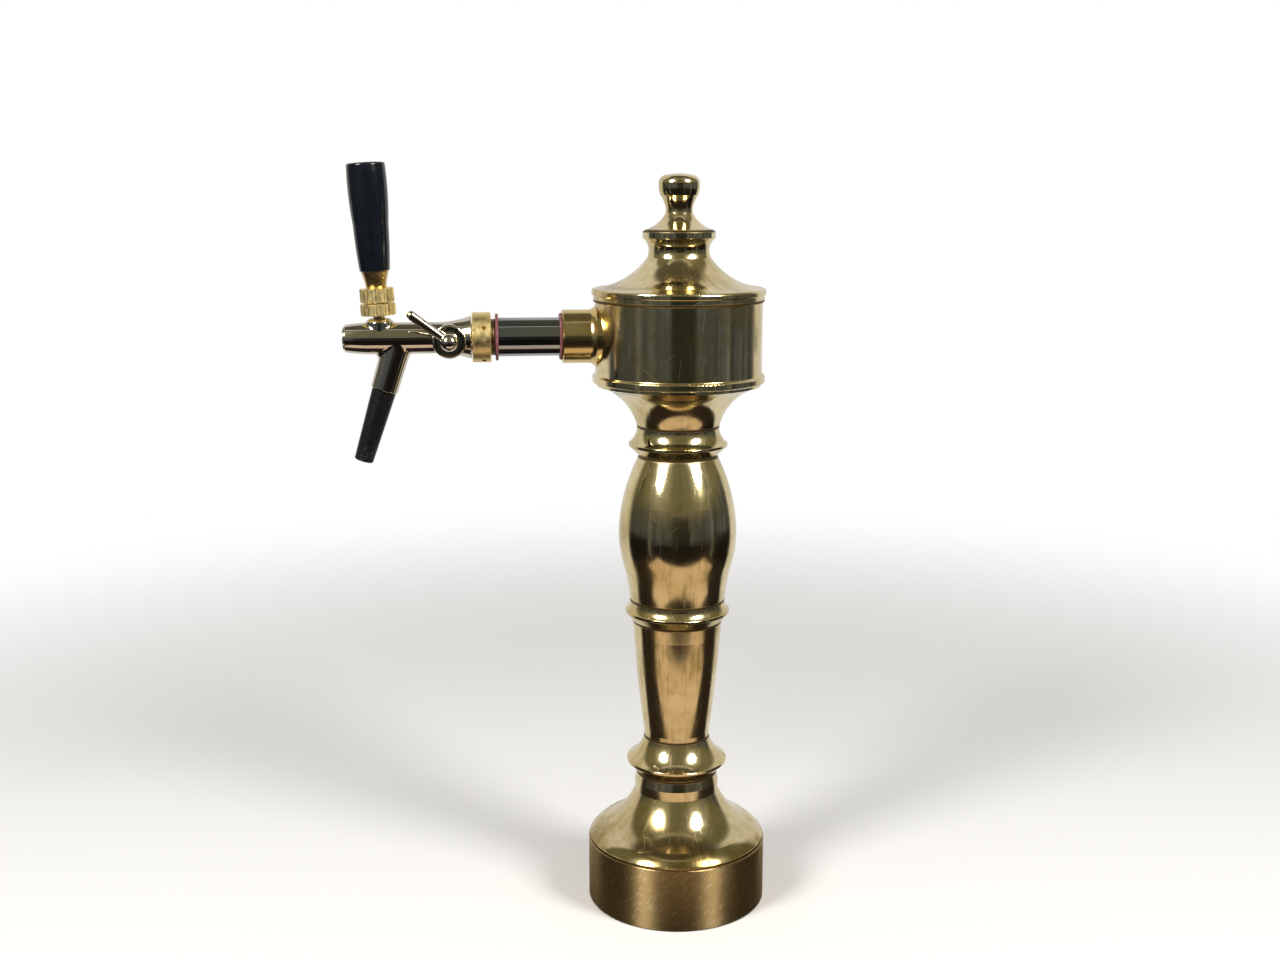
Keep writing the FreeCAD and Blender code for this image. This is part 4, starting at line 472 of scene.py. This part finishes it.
# tool marks 0.25 mm apart, drawn at 0.7 mm so that they show
HANDLE_CENTRE = (-0.2103, 0.0, 0.0)
circles = lathe_circles(tree, place, "Z", 0.7, centre=HANDLE_CENTRE)
tone = add(tree, "Mix", {0: circles, 6: linear("#E6CE8E"), 7: linear("#C9A55C")}, data_type="RGBA").outputs[2]
haze = add(tree, "MapRange", {"Value": circles, "To Min": 0.2, "To Max": 0.34}).outputs[0]
coat(tree, shader, tone, dull=haze, relief=circles, strength=0.3, depth=0.00003)
dress(ferrule_brass, "grip_ferrule")

phenolic, tree, shader = surface("polished_black_phenolic")
place = add(tree, "TexCoord").outputs["Object"]
wiped = add(tree, "TexNoise", {"Vector": place, "Scale": 80.0, "Detail": 5.0, "Roughness": 0.65}).outputs[0]
tone = add(tree, "Mix", {0: wiped, 6: linear("#080B10"), 7: linear("#10151B")}, data_type="RGBA").outputs[2]
shine = add(tree, "MapRange", {"Value": wiped, "From Min": 0.4, "From Max": 0.75, "To Min": 0.12,
                               "To Max": 0.24}).outputs[0]
coat(tree, shader, tone, dull=shine, relief=wiped, strength=0.05, depth=0.0003)
dress(phenolic, "lever_grip")

# Nozzle: black polyethylene tube, pushed over the spout's end. It is satin and softly uneven, with scuffs near
# the tip where glasses touch it.
polyethylene, tree, shader = surface("extruded_black_polyethylene")
shader.inputs["Specular IOR Level"].default_value = 0.25
place = add(tree, "TexCoord").outputs["Object"]
SCUFFED_LENGTH = 0.02
tip_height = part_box("spout_nozzle")[0][2]
up_the_nozzle = add(tree, "SeparateXYZ", {0: place}).outputs["Z"]
near_tip = add(tree, "MapRange", {"Value": up_the_nozzle, "From Min": tip_height,
                                  "From Max": tip_height + SCUFFED_LENGTH,
                                  "To Min": 1.0, "To Max": 0.0}).outputs[0]
rubs = add(tree, "TexNoise", {"Vector": place, "Scale": 350.0, "Detail": 4.0}).outputs[0]
scuffs = add(tree, "MapRange", {"Value": rubs, "From Min": 0.5, "From Max": 0.62}).outputs[0]
scuffs = add(tree, "Math", {0: scuffs, 1: near_tip}, operation="MULTIPLY").outputs[0]
tone = add(tree, "Mix", {0: rubs, 6: linear("#0A0A0B"), 7: linear("#121213")}, data_type="RGBA").outputs[2]
tone = add(tree, "Mix", {0: scuffs, 6: tone, 7: linear("#2A2A2B")}, data_type="RGBA").outputs[2]
satin = add(tree, "MapRange", {"Value": rubs, "To Min": 0.3, "To Max": 0.5}).outputs[0]
coat(tree, shader, tone, dull=satin, relief=rubs, strength=0.25, depth=0.00008)
dress(polyethylene, "spout_nozzle")
